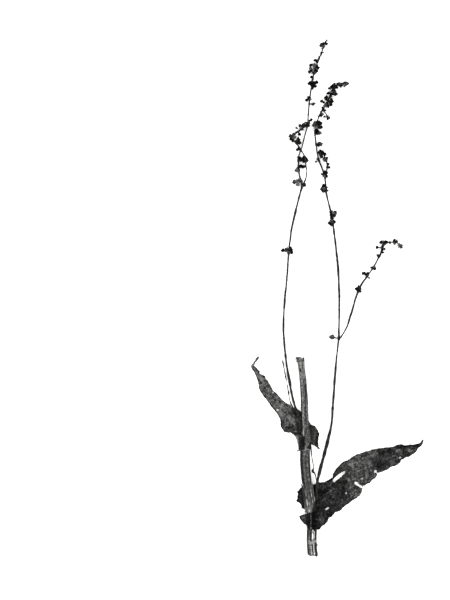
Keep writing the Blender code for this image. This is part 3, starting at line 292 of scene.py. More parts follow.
# Branches: a seed, then each axis (x, y, z of the centre line and the radius in millimetres, from the axil
# to the tip) with its whorls of fruit, also in millimetres.
BRANCHES = {
    "left_branch": (
        11,
        (metres(
            (-26.3, -93.5, 4, 0.7), (-26.2, -88, 4.2, 0.7), (-26.5, -83, 4.1, 0.7),
            (-29.1, -76.7, 3.6, 0.7), (-30.7, -71.1, 3, 0.7), (-33, -59.2, 2.2, 0.85),
            (-35.1, -47.7, 1.6, 0.6), (-36.5, -36.1, 1.4, 0.6), (-37.4, -22.1, 1.3, 0.55),
            (-36.4, 0.4, 1.4, 0.55), (-35.1, 13.9, 1.8, 0.55), (-33.7, 32.6, 2.4, 0.5),
            (-32, 47.3, 2.4, 0.6), (-29.1, 60.8, 2.2, 0.6), (-25.7, 73.9, 2.2, 0.6),
            (-24.4, 78.8, 2.2, 0.6), (-26.2, 85.6, 2, 0.5), (-27, 93.5, 1.8, 0.45),
            (-26.6, 100.5, 1.6, 0.4), (-24.9, 104.7, 1.5, 0.4), (-22.5, 114, 1.5, 0.4),
            (-20.7, 120.8, 1.5, 0.4), (-20, 129, 1.8, 0.4), (-19.3, 138, 2.2, 0.4), (-18.2, 146, 2.4, 0.4),
            (-16.6, 155.1, 2.4, 0.35), (-14.7, 162.8, 2.2, 0.35), (-12.2, 168.7, 2, 0.35),
            (-10.2, 174, 1.8, 0.3), (-7.6, 180.6, 1.6, 0.3),
        ), whorl_table(
            (-38.6, 32.9, 1, 1, 2.6), (-33.7, 33.5, 2.2, 7, 2.7), (-27.7, 81.4, 2.4, 4, 2.6, 0.6),
            (-23.1, 79.1, 1, 2, 2), (-28.7, 89.4, 0.8, 2, 2.8, 0.9), (-25.2, 92.4, 1.4, 3, 2.2),
            (-26.2, 97.4, 1.3, 3, 2.6), (-24, 97, 1.3, 3, 2.6), (-21.6, 97, 1, 3, 2.6),
            (-26.8, 104.6, 1.3, 3, 2.1), (-20.3, 139.7, 1.8, 3, 2.4), (-16.8, 136.2, 1.2, 2, 1.9),
            (-16.8, 149.5, 3, 7, 2.5), (-17.8, 154, 1, 1, 2), (-15.9, 157.4, 1.3, 2, 2),
            (-15, 161.7, 2.7, 6, 2.5), (-18.6, 159.8, 1.4, 3, 2.2, 0.3), (-15.2, 166.7, 0.9, 1, 1.7),
            (-12.4, 168.2, 1.3, 2, 1.8), (-11.2, 171.1, 1, 2, 1.6), (-10.3, 174.2, 0.8, 1, 1.5),
            (-9.1, 177.6, 2, 5, 1.8), (-7.7, 180, 0.6, 1, 1.5), (-8.9, 175.8, 0.8, 2, 1.9),
            (-9.7, 178.6, 0.8, 2, 1.8), (-7.5, 178.4, 0.6, 1, 1.9), (-10.5, 171.6, 0.6, 1, 1.8),
            (-14.3, 165.2, 0.6, 1, 1.9), (-20.3, 139.8, 0.6, 2, 2.7), (-22.6, 98.4, 0.6, 2, 2.4),
            (-17.2, 150, 1.8, 3, 2.4), (-7.6, 180.6, 0.3, 1, 1.7), (-15, 162, 1.8, 3, 2.5),
            (-23.2, 92.5, 1, 2, 2.2), (-11.8, 176.6, 0.2, 1, 1.7), (-15.6, 166.8, 0.2, 1, 1.9),
            (-18.4, 163.5, 0.3, 1, 2), (-15.7, 157.2, 0.8, 2, 2.2), (-17.4, 154.1, 0.3, 1, 1.9),
            (-14.3, 151.5, 0.2, 1, 1.9),
        )),
        (metres(
            (-24.4, 78.6, 2.4, 0.4), (-22.2, 83, 3, 0.4), (-21.2, 88.5, 3.4, 0.4), (-22, 94.2, 3.8, 0.4),
            (-22.8, 99.4, 4, 0.4), (-25.2, 103.7, 4, 0.4), (-28.4, 108.5, 3.6, 0.4), (-30.8, 111.3, 3, 0.4),
            (-31.6, 113.8, 3, 0.4), (-29.1, 115.7, 3.4, 0.4), (-25.9, 117.6, 3.8, 0.4),
            (-23.6, 120, 4, 0.4), (-20.7, 122, 4, 0.35), (-19, 124.5, 3.8, 0.3),
        ), whorl_table(
            (-31.4, 112.5, 2.6, 6, 2.4), (-27.2, 110, 2, 4, 2.3), (-27.5, 116, 1.8, 3, 2.1),
            (-27.7, 119.2, 1, 1, 1.8), (-24.5, 119.8, 2.4, 6, 2.4), (-21.3, 121.6, 1.7, 4, 2.2),
            (-18.6, 124.5, 0.9, 3, 2.1), (-20.6, 121.2, 1, 3, 2.2), (-27.5, 109.5, 1.8, 3, 2.2),
            (-24.4, 119.6, 1.4, 2, 2.4),
        )),
        (metres(
            (-27.7, -80, 3.9, 0.3), (-30.4, -77, 3.4, 0.3), (-32.5, -73.2, 3, 0.3),
            (-33.7, -67.4, 2.4, 0.3), (-34.8, -61, 1.9, 0.3), (-36.3, -52.9, 1.4, 0.3),
            (-38, -43.1, 1, 0.3),
        ), ()),
    ),
    "right_branch": (
        23,
        (metres(
            (-14.4, -140.5, 4.3, 0.9), (-14.3, -135.5, 4.3, 0.9), (-13.8, -128.1, 4, 0.9),
            (-12.2, -121.1, 3.4, 0.9), (-9.8, -112.1, 2.6, 0.95), (-6.6, -100.2, 1.9, 0.9),
            (-4, -88.6, 1.6, 0.7), (-2.9, -75.6, 1.4, 0.7), (-1.3, -54.3, 1.3, 0.7),
            (0.7, -32.8, 1.4, 0.45), (1.3, -27.7, 1.5, 0.6), (1.4, -18.6, 1.4, 0.5), (1.7, -3.2, 1.4, 0.6),
            (1.4, 9.5, 1.4, 0.6), (0.1, 28.4, 1.6, 0.6), (-2.3, 48, 2, 0.6), (-3.9, 58.5, 2.2, 0.6),
            (-6.1, 67.6, 2.2, 0.5), (-7.6, 74.6, 2.2, 0.5), (-8.2, 82.3, 2.2, 0.5),
            (-10.6, 91.4, 1.8, 0.45), (-13.2, 98.4, 1.6, 0.4), (-14.5, 106.8, 1.8, 0.4),
            (-15.2, 116.6, 2.2, 0.4), (-14.1, 123.6, 2.4, 0.4), (-11.6, 129.2, 2.4, 0.4),
            (-8.4, 134.8, 2.4, 0.4), (-5.3, 140.7, 2.4, 0.35), (-3.2, 146, 2.2, 0.35),
            (-0.7, 149.1, 2, 0.35), (3, 149.6, 1.8, 0.3), (7.6, 150, 1.6, 0.3),
        ), whorl_table(
            (-3.6, -27.1, 0.2, 2, 3.5, 0.6), (1.8, -27.9, 0.4, 2, 1.9), (-3.2, 58.8, 2.5, 6, 2.5),
            (-4.6, 52.9, 1.8, 3, 2.4), (-1.6, 54.3, 1, 1, 2), (-8.9, 76.8, 2.4, 5, 2.6),
            (-13.2, 97.5, 0.8, 1, 1.6), (-12.3, 108.1, 1.8, 2, 2.3), (-13.8, 115.9, 2, 4, 2.5),
            (-14.2, 121.6, 2.8, 8, 2.6, 0.25), (-11.6, 128.1, 1.7, 3, 2.3), (-9, 131.3, 1.3, 2, 2),
            (-7.7, 140.2, 1.4, 3, 2.1), (-5.6, 136.5, 2.5, 6, 2.5), (-10.4, 137.9, 1.3, 2, 2),
            (-6, 143.5, 1.1, 1, 1.9), (-2.6, 144.2, 2.2, 5, 2.3), (-3.9, 140.4, 1.3, 2, 1.9),
            (-2.5, 148.1, 2.4, 6, 2.3), (0.1, 150.7, 0.8, 1, 1.6), (2.1, 149.5, 1.5, 4, 1.8),
            (4.6, 149.6, 1.5, 4, 1.8), (6.9, 150, 1.4, 4, 1.7), (1.8, 149.9, 0.9, 3, 2.2),
            (3.4, 149.6, 0.9, 3, 2.2), (5.2, 150, 0.9, 3, 2.2, 0.2), (6.6, 150.3, 0.9, 3, 2, 0.3),
            (-12, 108.2, 0.8, 2, 2.6), (-8.6, 76, 1, 2, 2.6), (-4.2, 143, 1.8, 4, 2.2),
            (-8.2, 134.6, 1.2, 3, 2.4, 0.7), (-13.2, 115.8, 1.2, 2, 2.4), (-3, 58.5, 1.2, 2, 2.4),
            (-0.1, 143.4, 0.3, 1, 2), (-6.3, 143.3, 0.3, 1, 2), (-10.5, 133.3, 0.2, 1, 1.7),
            (-11.2, 128.4, 1, 2, 2.4), (-15, 120.6, 1.4, 3, 2.7, 0.6), (-11.6, 122.6, 0.6, 2, 2.2),
            (-11.3, 119.9, 0.3, 1, 2.4, 0.4), (-15.3, 117, 0.3, 1, 2), (-13.8, 97.4, 0.4, 2, 1.9),
            (-15, 95.6, 0.2, 1, 1.6, 0.9), (-9.3, 75, 0.8, 2, 2.4), (-5.4, 147, 0.3, 1, 1.7, 0.3),
        )),
        (metres(
            (-8.2, 82, 2.2, 0.4), (-7.8, 86.8, 2.8, 0.4), (-7, 91.5, 3, 0.4), (-7.2, 95, 3, 0.4),
            (-8.5, 99, 2.8, 0.4), (-10.3, 102.5, 2.6, 0.3),
        ), whorl_table(
            (-8.5, 86.8, 2.2, 5, 2.2), (-6.1, 92.4, 1.8, 3, 2), (-7.9, 97.6, 1.5, 3, 1.9),
            (-10.4, 101.4, 2.4, 6, 2.3), (-11.8, 101.8, 1.4, 3, 2.4), (-8.2, 96.6, 1.2, 4, 2.4, 0.35),
            (-8.4, 87.2, 1.8, 3, 2.4),
        )),
        (metres(
            (-9.8, 131.8, 2.4, 0.3), (-7.8, 129.4, 2.6, 0.3), (-6.4, 126.6, 2.4, 0.3),
        ), whorl_table(
            (-5.9, 125.8, 1, 2, 2), (-8.4, 126.7, 0.6, 1, 1.7), (-6.6, 126.4, 0.6, 1, 2.2),
        )),
        (metres(
            (-14, -133, 4.3, 0.3), (-14.6, -127, 4.2, 0.3), (-15.7, -122.2, 4, 0.4),
            (-17.1, -120.6, 3.8, 0.8), (-16.4, -118.6, 3.7, 0.3), (-16.8, -115.5, 3.6, 0.3),
            (-17.7, -110, 3.4, 0.3), (-18.1, -105, 3.2, 0.35), (-18.4, -102.2, 3.1, 0.35),
        ), ()),
    ),
    "side_branch": (
        37,
        (metres(
            (2.8, -27, 1.8, 0.4), (5, -23.4, 1.7, 0.4), (7.6, -18.2, 1.6, 0.5), (9.2, -12.7, 1.5, 0.6),
            (11.2, -6.5, 1.5, 0.6), (12.8, -0.8, 1.6, 0.6), (14.8, 4.8, 2, 0.6), (17, 9.7, 2.2, 0.5),
            (20, 14, 2, 0.5), (24.1, 19.7, 1.8, 0.42), (26.2, 23, 1.8, 0.42), (29, 28.5, 2, 0.42),
            (31.1, 32.5, 2.2, 0.42), (32.2, 37, 2.2, 0.42), (34.3, 39, 2.2, 0.42), (37.4, 39.3, 2, 0.3),
            (41, 39.6, 1.8, 0.3), (43.8, 37.4, 1.6, 0.3), (45.8, 35.6, 1.4, 0.3),
        ), whorl_table(
            (14.9, 6.3, 2, 5, 2.3), (18.6, 17.5, 0.8, 1, 1.9), (21.4, 17.2, 1.2, 2, 1.8),
            (22.6, 14.7, 0.6, 1, 1.5), (25.6, 21.8, 1.5, 3, 1.9), (29, 30.1, 1.5, 2, 1.8),
            (31.4, 32.9, 1.2, 3, 1.7), (28.4, 36.1, 0.4, 1, 1.5), (32.2, 35.4, 1, 2, 1.5),
            (30.8, 39.7, 0.6, 1, 1.5), (33.6, 39.2, 1.3, 3, 1.6), (37.1, 39.3, 1, 2, 1.5),
            (40.8, 39.9, 1.5, 4, 1.7), (44.1, 36.8, 1.5, 4, 1.8), (45.5, 35.7, 0.6, 1, 2),
            (30.6, 39.5, 0.3, 1, 2.2), (32.5, 39.3, 0.8, 2, 2), (34.5, 39.5, 0.8, 2, 1.8),
            (39.5, 39, 0.6, 1, 1.9), (40.8, 40.1, 0.8, 2, 2.1), (43.8, 36.8, 0.9, 3, 2.2, 0.3),
            (18.4, 17.5, 0.3, 1, 2.2), (28.2, 35.8, 0.3, 1, 2.1), (28.2, 29.8, 0.5, 1, 1.9),
            (32.2, 31.8, 0.6, 1, 1.8), (33.5, 34.3, 0.3, 1, 1.6), (15, 5, 1, 2, 2.2),
            (44.6, 36.6, 0.8, 2, 2.2, 0.3), (40.7, 38.4, 0.5, 1, 1.9), (23.7, 21.8, 0.2, 1, 1.4),
        )),
    ),
}
CAD_STEP = 0.0035
CAD_ROOTS_PER_STEP = 6
STALK_SIDES = 12
STALK_CLEARANCE = 0.00002
# A husk's rings from its foot to its torn mouth: reach over the stalk's, slide back along it, and paleness.
HUSK_STEP, HUSK_SIDES = 0.0004, 10
HUSK_FLARE = np.array((1.05, 1.35, 1.75, 2.15, 1.2, 0.9))[:, None]
HUSK_SLIDE = np.array((0, 0, 0, 0, -0.00024, -0.00064))[:, None]
HUSK_RIM = (0.0, 0.05, 0.15, 0.25, 0.1, 0.0)

GOLDEN_ANGLE = math.radians(137.508)
FRUIT_LIFT = 0.85
FRUIT_FLOOR_REACH = 0.52
FLOOR_CLEARANCE = 0.0001
FRUIT_WINGS = 3
FRUIT_TURNS = np.radians((-17, 0, 17))
# A fruit's outline from its stalk to its tip: height in sizes, reach of its wings and of its waist.
FRUIT_HEIGHTS = np.array((-0.46, -0.30, -0.02, 0.24, 0.42))
WING_REACH = np.array((0.10, 0.42, 0.56, 0.42, 0.12))[:, None]
WAIST_REACH = np.array((0.07, 0.18, 0.26, 0.20, 0.07))[:, None]
FRUIT_TIP = 0.52
STALKLET_SIDES = 4
STALKLET_FLARE = np.array((1.3, 0.9, 0.9, 1.4))

FIBRE_SIDES = 6
# Loose hairs, broken fibres and crumbs, in millimetres: radius, then x, y, z of each bend.
LOOSE_FIBRES = (
    (0.4, (-28, -106.6, 5.2), (-27.2, -106, 6), (-26.2, -106.1, 6.6), (-25.2, -105.8, 6.6)),
    (0.22, (-29.5, -106.5, 4), (-29.1, -106.6, 4.2), (-28.8, -106.5, 4.4)),
    (0.13, (-26.8, -106.1, 6.1), (-26.9, -104, 6.4), (-26.8, -101.2, 6.2)),
    (0.65, (-15.1, -171.4, 3.2), (-14.3, -172, 3), (-13.7, -172.8, 2.8)),
    (0.2, (-14.6, -176, 3.4), (-13.7, -177.8, 3.4), (-13.6, -179.9, 3)),
    (0.22, (-28, -44.5, 2.8), (-28.8, -43.2, 2.6), (-28.6, -41.6, 2.2)),
    (0.22, (-24, -44.6, 2.8), (-23.4, -43.2, 2.7), (-23.6, -41.8, 2.4)),
    (0.6, (-18.8, -104, 2), (-18.7, -103.2, 2.2), (-18.8, -102.4, 2)),
    (0.7, (-13.6, -104.4, 1), (-12.8, -104.9, 1.1), (-12, -105.5, 1)),
    (0.85, (-16, -147.7, 3.6), (-14.5, -148.1, 3.2), (-13, -148.6, 2.6)),
    (0.8, (-16, -148.9, 4), (-14.6, -149, 3.4), (-13.2, -149.1, 2.8)),
    (0.26, (-29.1, -42.6, 2.6), (-28.6, -41.4, 2.8), (-27.2, -40.8, 3), (-25.6, -41, 3)),
    (0.6, (-27.7, -42.4, 3.4), (-27.1, -41.9, 3.6), (-26.6, -42.1, 3.4)),
)

# Size of the lattice of random heights, and how much length goes into one step of the skin coordinates.
LATTICE = (89, 97)
SKIN_LENGTH = 0.02


def smoothstep(share):
    return share * share * (3 - 2 * share)


def value_noise(x, y, cell, seed):
    """Random heights from -1 to 1 on a square lattice, blended by smoothstep between its corners."""
    heights = np.random.default_rng(seed).uniform(-1, 1, LATTICE)
    across, along = np.broadcast_arrays(np.asarray(x, float) / cell, np.asarray(y, float) / cell)
    column, row = np.floor(across).astype(int), np.floor(along).astype(int)
    u, v = smoothstep(across - column), smoothstep(along - row)
    corners = [heights[(column + k % 2) % LATTICE[0], (row + k // 2) % LATTICE[1]] for k in range(4)]
    return (corners[0] * (1 - u) + corners[1] * u) * (1 - v) + (corners[2] * (1 - u) + corners[3] * u) * v


def layered_noise(x, y, cell, seed, layers=3):
    """Value noise summed over layers, each with half the cell and half the height of the one before."""
    return np.sum([value_noise(x, y, cell / 2**k, seed + k) / 2**k for k in range(layers)], axis=0)


def smooth_window(value, low, high, blur):
    """One between low and high, nought outside, with smoothstep flanks as wide as blur."""
    rise, fall = np.clip((value - low) / blur + 0.5, 0, 1), np.clip((high - value) / blur + 0.5, 0, 1)
    return smoothstep(rise) * smoothstep(fall)


def curve_through(points, knots, at):
    """Cubic Hermite curve through points[i] at knots[i], read at the places; points may be rows of points."""
    points = np.asarray(points, float)
    slopes = np.gradient(points, knots, axis=0)
    first = np.clip(np.searchsorted(knots, at, side="right") - 1, 0, len(knots) - 2)
    shape = (-1,) + (1,) * (points.ndim - 1)
    span = (knots[first + 1] - knots[first]).reshape(shape)
    share = (at - knots[first]).reshape(shape) / span
    return (
        (2 * share**3 - 3 * share**2 + 1) * points[first] + (3 * share**2 - 2 * share**3) * points[first + 1]
        + (share**3 - 2 * share**2 + share) * span * slopes[first]
        + (share**3 - share**2) * span * slopes[first + 1]
    )


def refined(points, count):
    """So many rows at even steps on the smooth curves through the rows of points."""
    return curve_through(points, np.arange(len(points), dtype=float), np.linspace(0, len(points) - 1, count))


def lengths_along(points):
    """Distance from the first point to each, along the straight stretches between them."""
    return np.append(0.0, np.cumsum(np.linalg.norm(np.diff(points, axis=0), axis=1)))


def smooth_route(route, step):
    """Points x, y, z, radius about a step apart on the smooth curve through the route's own points."""
    knots = lengths_along(route[:, :3])
    return curve_through(route, knots, np.linspace(0, knots[-1], max(3, round(knots[-1] / step) + 1)))


def read_between(points, places, knots=None):
    """The points read at the places on straight stretches between their knots, or between their numbers."""
    knots = np.arange(len(points)) if knots is None else knots
    return np.stack([np.interp(places, knots, column) for column in points.T], axis=1)


def nearest_on(path, x, y):
    return np.argmin((path[:, 0] - x) ** 2 + (path[:, 1] - y) ** 2)


def unit(vectors):
    return vectors / np.linalg.norm(vectors, axis=-1, keepdims=True)


def turns(sides):
    return 2 * math.pi * np.arange(sides) / sides


def grid_quads(rows, columns):
    index = np.arange(rows * columns).reshape(rows, columns)
    return np.stack((index[:-1, :-1], index[:-1, 1:], index[1:, 1:], index[1:, :-1]), axis=-1).reshape(-1, 4)


def tube_faces(rings, sides, starts):
    """Quads and end fans of closed tubes whose points run by ring and side, with the two poles last.

    starts holds the number of each tube's first point.
    """
    ring = np.arange(rings * sides).reshape(rings, sides)
    after = np.roll(ring, -1, axis=1)
    pole = np.full(sides, rings * sides)
    quads = np.stack((ring[:-1], after[:-1], after[1:], ring[1:]), axis=-1).reshape(-1, 4)
    fans = np.stack(((pole, pole + 1), (after[0], ring[-1]), (ring[0], after[-1])), axis=-1).reshape(-1, 3)
    return [(faces + np.reshape(starts, (-1, 1, 1))).reshape(-1, faces.shape[1]) for faces in (quads, fans)]


def spoke_ends(centres, reach, angle, side, up):
    """centre + reach (cos angle sideways + sin angle up)."""
    return centres + reach[..., None] * (np.cos(angle)[..., None] * side + np.sin(angle)[..., None] * up)


def tube_skin(along, sides):
    """Skin coordinates of a tube: share of the turn and place along; the two poles take the end's."""
    rings = np.stack(np.broadcast_arrays(np.arange(sides) / sides, along[:, None]), axis=-1).reshape(-1, 2)
    return np.concatenate((rings, [(0.5, along[0]), (0.5, along[-1])]))


def tube(centres, reach, lengths, rim=0.0):
    """A closed tube round a nearly flat path, kept off the floor: shape, points, skin coordinates, rim marks.

    A point is centre + reach (cos turn sideways + sin turn up). The two poles are the ends of the path.
    """
    rings, sides = reach.shape
    centres[:, 2] = np.maximum(centres[:, 2], reach.max(axis=1) + STALK_CLEARANCE)
    tangent = unit(np.gradient(centres, axis=0))
    side = unit(np.cross((0.0, 0.0, 1.0), tangent))
    ends = spoke_ends(centres[:, None], reach, turns(sides), side[:, None], np.cross(tangent, side)[:, None])
    points = np.concatenate((ends.reshape(-1, 3), centres[:1], centres[-1:]))
    rims = np.append(np.repeat(np.broadcast_to(rim, rings), sides), (0, 0))
    return (rings, sides), points, tube_skin(lengths / SKIN_LENGTH, sides), rims


def link(name, data):
    """A new object for the data, placed in the scene."""
    placed = bpy.data.objects.new(name, data)
    bpy.context.scene.collection.objects.link(placed)
    return placed


def add_piece(name, points, faces, material, uv=None, marks=None):
    """A mesh object with a UV map whose seam is closed and with one value per point for each mark.

    faces is a list of whole-number arrays, one for each number of corners.
    """
    mesh = bpy.data.meshes.new(name)
    mesh.from_pydata(points.reshape(-1, 3).tolist(), [], [face for group in faces for face in group.tolist()])
    mesh.polygons.foreach_set("use_smooth", np.ones(len(mesh.polygons), bool))
    corner_point = np.empty(len(mesh.loops), np.int32)
    mesh.loops.foreach_get("vertex_index", corner_point)
    if uv is not None:
        corners = uv.reshape(-1, 2)[corner_point]
        starts = np.empty(len(mesh.polygons), np.int32)
        mesh.polygons.foreach_get("loop_start", starts)
        sizes = np.diff(np.append(starts, len(corner_point)))
        widest = np.repeat(np.maximum.reduceat(corners[:, 0], starts), sizes)
        corners[:, 0] += (widest > 0.75) & (corners[:, 0] < 0.25)
        mesh.uv_layers.new(name=SKIN_UV).data.foreach_set("uv", corners.ravel())
    for mark, values in (marks or {}).items():
        layer = mesh.attributes.new(mark, "FLOAT", "POINT")
        layer.data.foreach_set("value", np.asarray(values, np.float32).ravel())
    mesh.materials.append(material)
    mesh.update()
    return link(name, mesh)


def add_tubes(name, tubes, look):
    """Several tubes as one piece."""
    shapes, points, uvs, rims = zip(*tubes)
    starts = np.cumsum([0, *map(len, points)])
    faces = [tube_faces(*shape, start) for shape, start in zip(shapes, starts)]
    return add_piece(
        name, np.concatenate(points), [np.concatenate(group) for group in zip(*faces)],
        dry_skin("wiry_stalk", look.stalk_dark, look.stalk_pale), np.concatenate(uvs),
        {"rim": np.concatenate(rims)},
    )


def thicken(piece, thickness):
    wall = piece.modifiers.new("thickness", "SOLIDIFY")
    wall.thickness, wall.offset = thickness, 0.0
    return piece


def dress(piece, slot, *nodes):
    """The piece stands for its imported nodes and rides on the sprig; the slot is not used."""
    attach(piece, BODY)
    if nodes:
        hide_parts(*nodes)


def streak_tone(streaks, across, y):
    """Sum over the streaks of the amount times a window across times a window along."""
    tone = 0
    for place, first, last, half_width, amount in streaks:
        over = smooth_window(across, place - half_width, place + half_width, 0.6 * half_width)
        tone = tone + amount * over * smooth_window(y, first, last, STREAK_BLUR)
    return tone


def make_stem(look):
    """The stem's ribbed outline carried along its route.

    A point is the centre line + half-width times (reach cos turn across, flattening times reach sin turn
    up), where reach is one plus ribs, a cosine of the turn, plus finer furrows and dents by noise along the
    fibres. The top and the foot are broken off unevenly and turn in to a hollow that ends in a pole.
    """
    path = smooth_route(STEM_ROUTE, 0.0005)
    path = read_between(path, np.linspace(0, len(path) - 1, STEM_RINGS))
    x, y, z, half_width = (column[:, None] for column in path.T)
    turn = turns(STEM_SIDES)[None] - math.pi / 2
    ribs = look.rib_height * np.cos(STEM_RIBS * turn + 0.6 * value_noise(0 * y, y, 0.02, 3))
    furrows = 0.022 * value_noise(turn * 4.1 + 9, y / 0.012, 1.0, 11)
    furrows = furrows + 0.016 * value_noise(turn * 9.3, y / 0.006, 1.0, 12)
    dents = 0.035 * layered_noise(turn * 1.3, y / 0.007, 1.0, 14)
    reach = (1 + ribs + furrows + dents) * (1 + 0.10 * smooth_window(y, STEM_TOP, -0.03, 0.003))
    across = reach * np.cos(turn)
    up = np.maximum(STEM_FLATTENING * reach * np.sin(turn), -STEM_UNDERSIDE)
    z = np.maximum(z, STEM_UNDERSIDE * half_width)
    outer = np.stack((x + half_width * across, y + 0 * turn, z + half_width * up), axis=-1)
    broken = layered_noise(turn[0] * 2.2, 0 * turn[0], 1.0, 21)
    foot_shift = 0.0003 + 0.0005 * broken + 0.0022 * np.clip(-across - 0.35, 0, 1) ** 2
    top_shift = 0.0007 * np.roll(broken, 31) - 0.0024 * np.clip(np.sin(turn) + 0.2, 0, 1)
    outer[..., 1] += np.clip((STEM_FOOT - y) / BREAK_LENGTH, 0, 1) * foot_shift
    outer[..., 1] += np.clip((y - STEM_TOP) / BREAK_LENGTH, 0, 1) * top_shift

    def hollow(ring, inward):
        """Rings from the broken rim in to the hollow's end: shrunk about the middle and moved inward."""
        middle = np.concatenate((x, y, z), axis=1)[ring]
        steps = [(np.array((share, 1.0, share)), (0, inward * depth, 0)) for share, depth in HOLLOW_STEPS]
        return np.array([middle + (outer[ring] - middle) * shrunk + shift for shrunk, shift in steps])

    foot, top = hollow(0, 1.0)[::-1], hollow(-1, -1.0)
    body = np.concatenate((foot, outer, top))
    # The mark hollow darkens the broken ends: most inside each hollow, where it is painted shade, and round
    # the top's rim.
    inside = np.concatenate((
        np.linspace(1, 0.3, len(foot)), np.zeros(STEM_RINGS - 3), (0.2, 0.5, 0.8), (0.9, 0.5, 0.1, 0.2, 1.0)
    ))[:, None]
    points = np.concatenate((body.reshape(-1, 3), [foot[0].mean(axis=0), top[-1].mean(axis=0)]))
    points[:, 2] = np.maximum(points[:, 2], 0.00001)
    across = np.pad(across, ((len(foot), len(top)), (0, 0)))
    wander = 0.05 * value_noise(0 * body[..., 1], body[..., 1], 0.002, 61)
    streaks = streak_tone(STEM_STREAKS, across + wander, body[..., 1]) * (inside < 0.1)
    streaks[-len(top):] += 0.55
    marks = {"streak": np.append(streaks, (0, 0)), "hollow": np.append(inside + 0 * across, (1, 1))}
    faces = [group[:, ::-1] for group in tube_faces(len(body), STEM_SIDES, 0)]
    skin = dry_skin("dry_stem", look.dark_colour, look.pale_colour, look.bleached_colour, look.hollow_shade_colour)
    return add_piece("stem", points, faces, skin, tube_skin(np.linspace(0, 1, len(body)), STEM_SIDES), marks)


def leaf_surface(leaf):
    """The leaf's smooth surface: Hermite curves through its rows, and across each row through its points.

    A row of the blade runs straight from margin to midrib to margin, each half raised in its middle.
    """
    places = np.linspace(-1, 1, leaf["base"].shape[1])[:, None]
    low, midrib, high = (leaf["blade"][:, k, None] for k in range(3))
    ruled = low * np.maximum(-places, 0) + high * np.maximum(places, 0) + midrib * (1 - np.abs(places))
    bulge = leaf["bulge"] * np.linalg.norm(low - high, axis=2) / 0.02
    ruled[..., 2] += bulge * np.sin(math.pi * np.abs(places[:, 0]))
    cage = np.concatenate((leaf["base"], ruled))
    return refined(refined(cage, leaf["rows"]).swapaxes(0, 1), leaf["columns"]).swapaxes(0, 1)


def pull_to_edge(margin, edge, seed):
    """How far each point of a smooth margin is from its place on the ragged edge.

    Its place is the nearest on the edge, kept from going back, plus a fine tear noise across the edge's
    direction.
    """
    lengths = lengths_along(edge)
    path = read_between(edge, np.linspace(0, lengths[-1], 2400), lengths)
    nearest = np.argmin(np.linalg.norm(margin[:, None] - path[None], axis=2), axis=1)
    nearest[0], nearest[-1] = 0, len(path) - 1
    nearest = np.maximum.accumulate(nearest).astype(float)
    even = np.convolve(np.pad(nearest, 3, mode="edge"), np.ones(7) / 7, mode="valid")
    even[0], even[-1] = 0, len(path) - 1
    target = read_between(path, even)
    along = unit(np.gradient(target, axis=0) + 1e-9)
    ragged = 0.00024 * layered_noise(lengths_along(target), 0, 0.0016, seed)
    target += np.stack((-along[:, 1], along[:, 0]), axis=1) * ragged[:, None]
    return target - margin


def oval_place(points, oval):
    """Place of plan points in an oval's own frame, in its half-lengths: one is its rim."""
    x, y, half_length, half_width, degrees = oval
    angle = math.radians(degrees)
    east, north = points[..., 0] - x / 1000, points[..., 1] - y / 1000
    along = (east * math.cos(angle) + north * math.sin(angle)) * 1000 / half_length
    across = (north * math.cos(angle) - east * math.sin(angle)) * 1000 / half_width
    return along, across, np.hypot(along, across), angle


def pinched_quads(quads, kept):
    """Kept quads at a point where more than two open edges meet, such as two that touch at one corner."""
    edges = np.sort(np.concatenate([np.roll(quads[kept], -k, axis=1)[:, :2] for k in range(4)]), axis=1)
    pairs, count = np.unique(edges, axis=0, return_counts=True)
    ends, uses = np.unique(pairs[count == 1], return_counts=True)
    return kept & np.isin(quads, ends[uses > 2]).any(axis=1)


def tear_holes(grid, quads, holes):
    """Quads whose middle is in an oval are dropped, and the points round them move on to the oval's rim."""
    flat = grid.reshape(-1, 3)
    kept = np.ones(len(quads), bool)
    for hole in holes:
        inside = oval_place(flat[quads].mean(axis=1), hole)[2] < 1
        pinched = pinched_quads(quads, kept & ~inside)
        while pinched.any():
            inside |= pinched
            pinched = pinched_quads(quads, kept & ~inside)
        rim = np.zeros(len(flat), bool)
        rim[quads[inside].ravel()] = True
        kept &= ~inside
        along, across, away, angle = oval_place(flat, hole)
        near = rim & (away < 2.2) & (away > 0.25)
        ragged = 1 + 0.10 * layered_noise(flat[near, 0], flat[near, 1], 0.0008, 71, 2)
        along, across = (
            part[near] / away[near] * ragged * half / 1000 for part, half in zip((along, across), hole[2:4])
        )
        flat[near, 0] = hole[0] / 1000 + along * math.cos(angle) - across * math.sin(angle)
        flat[near, 1] = hole[1] / 1000 + along * math.sin(angle) + across * math.cos(angle)
    used = np.zeros(len(flat), bool)
    used[quads[kept].ravel()] = True
    return used, (np.cumsum(used) - 1)[quads[kept]]


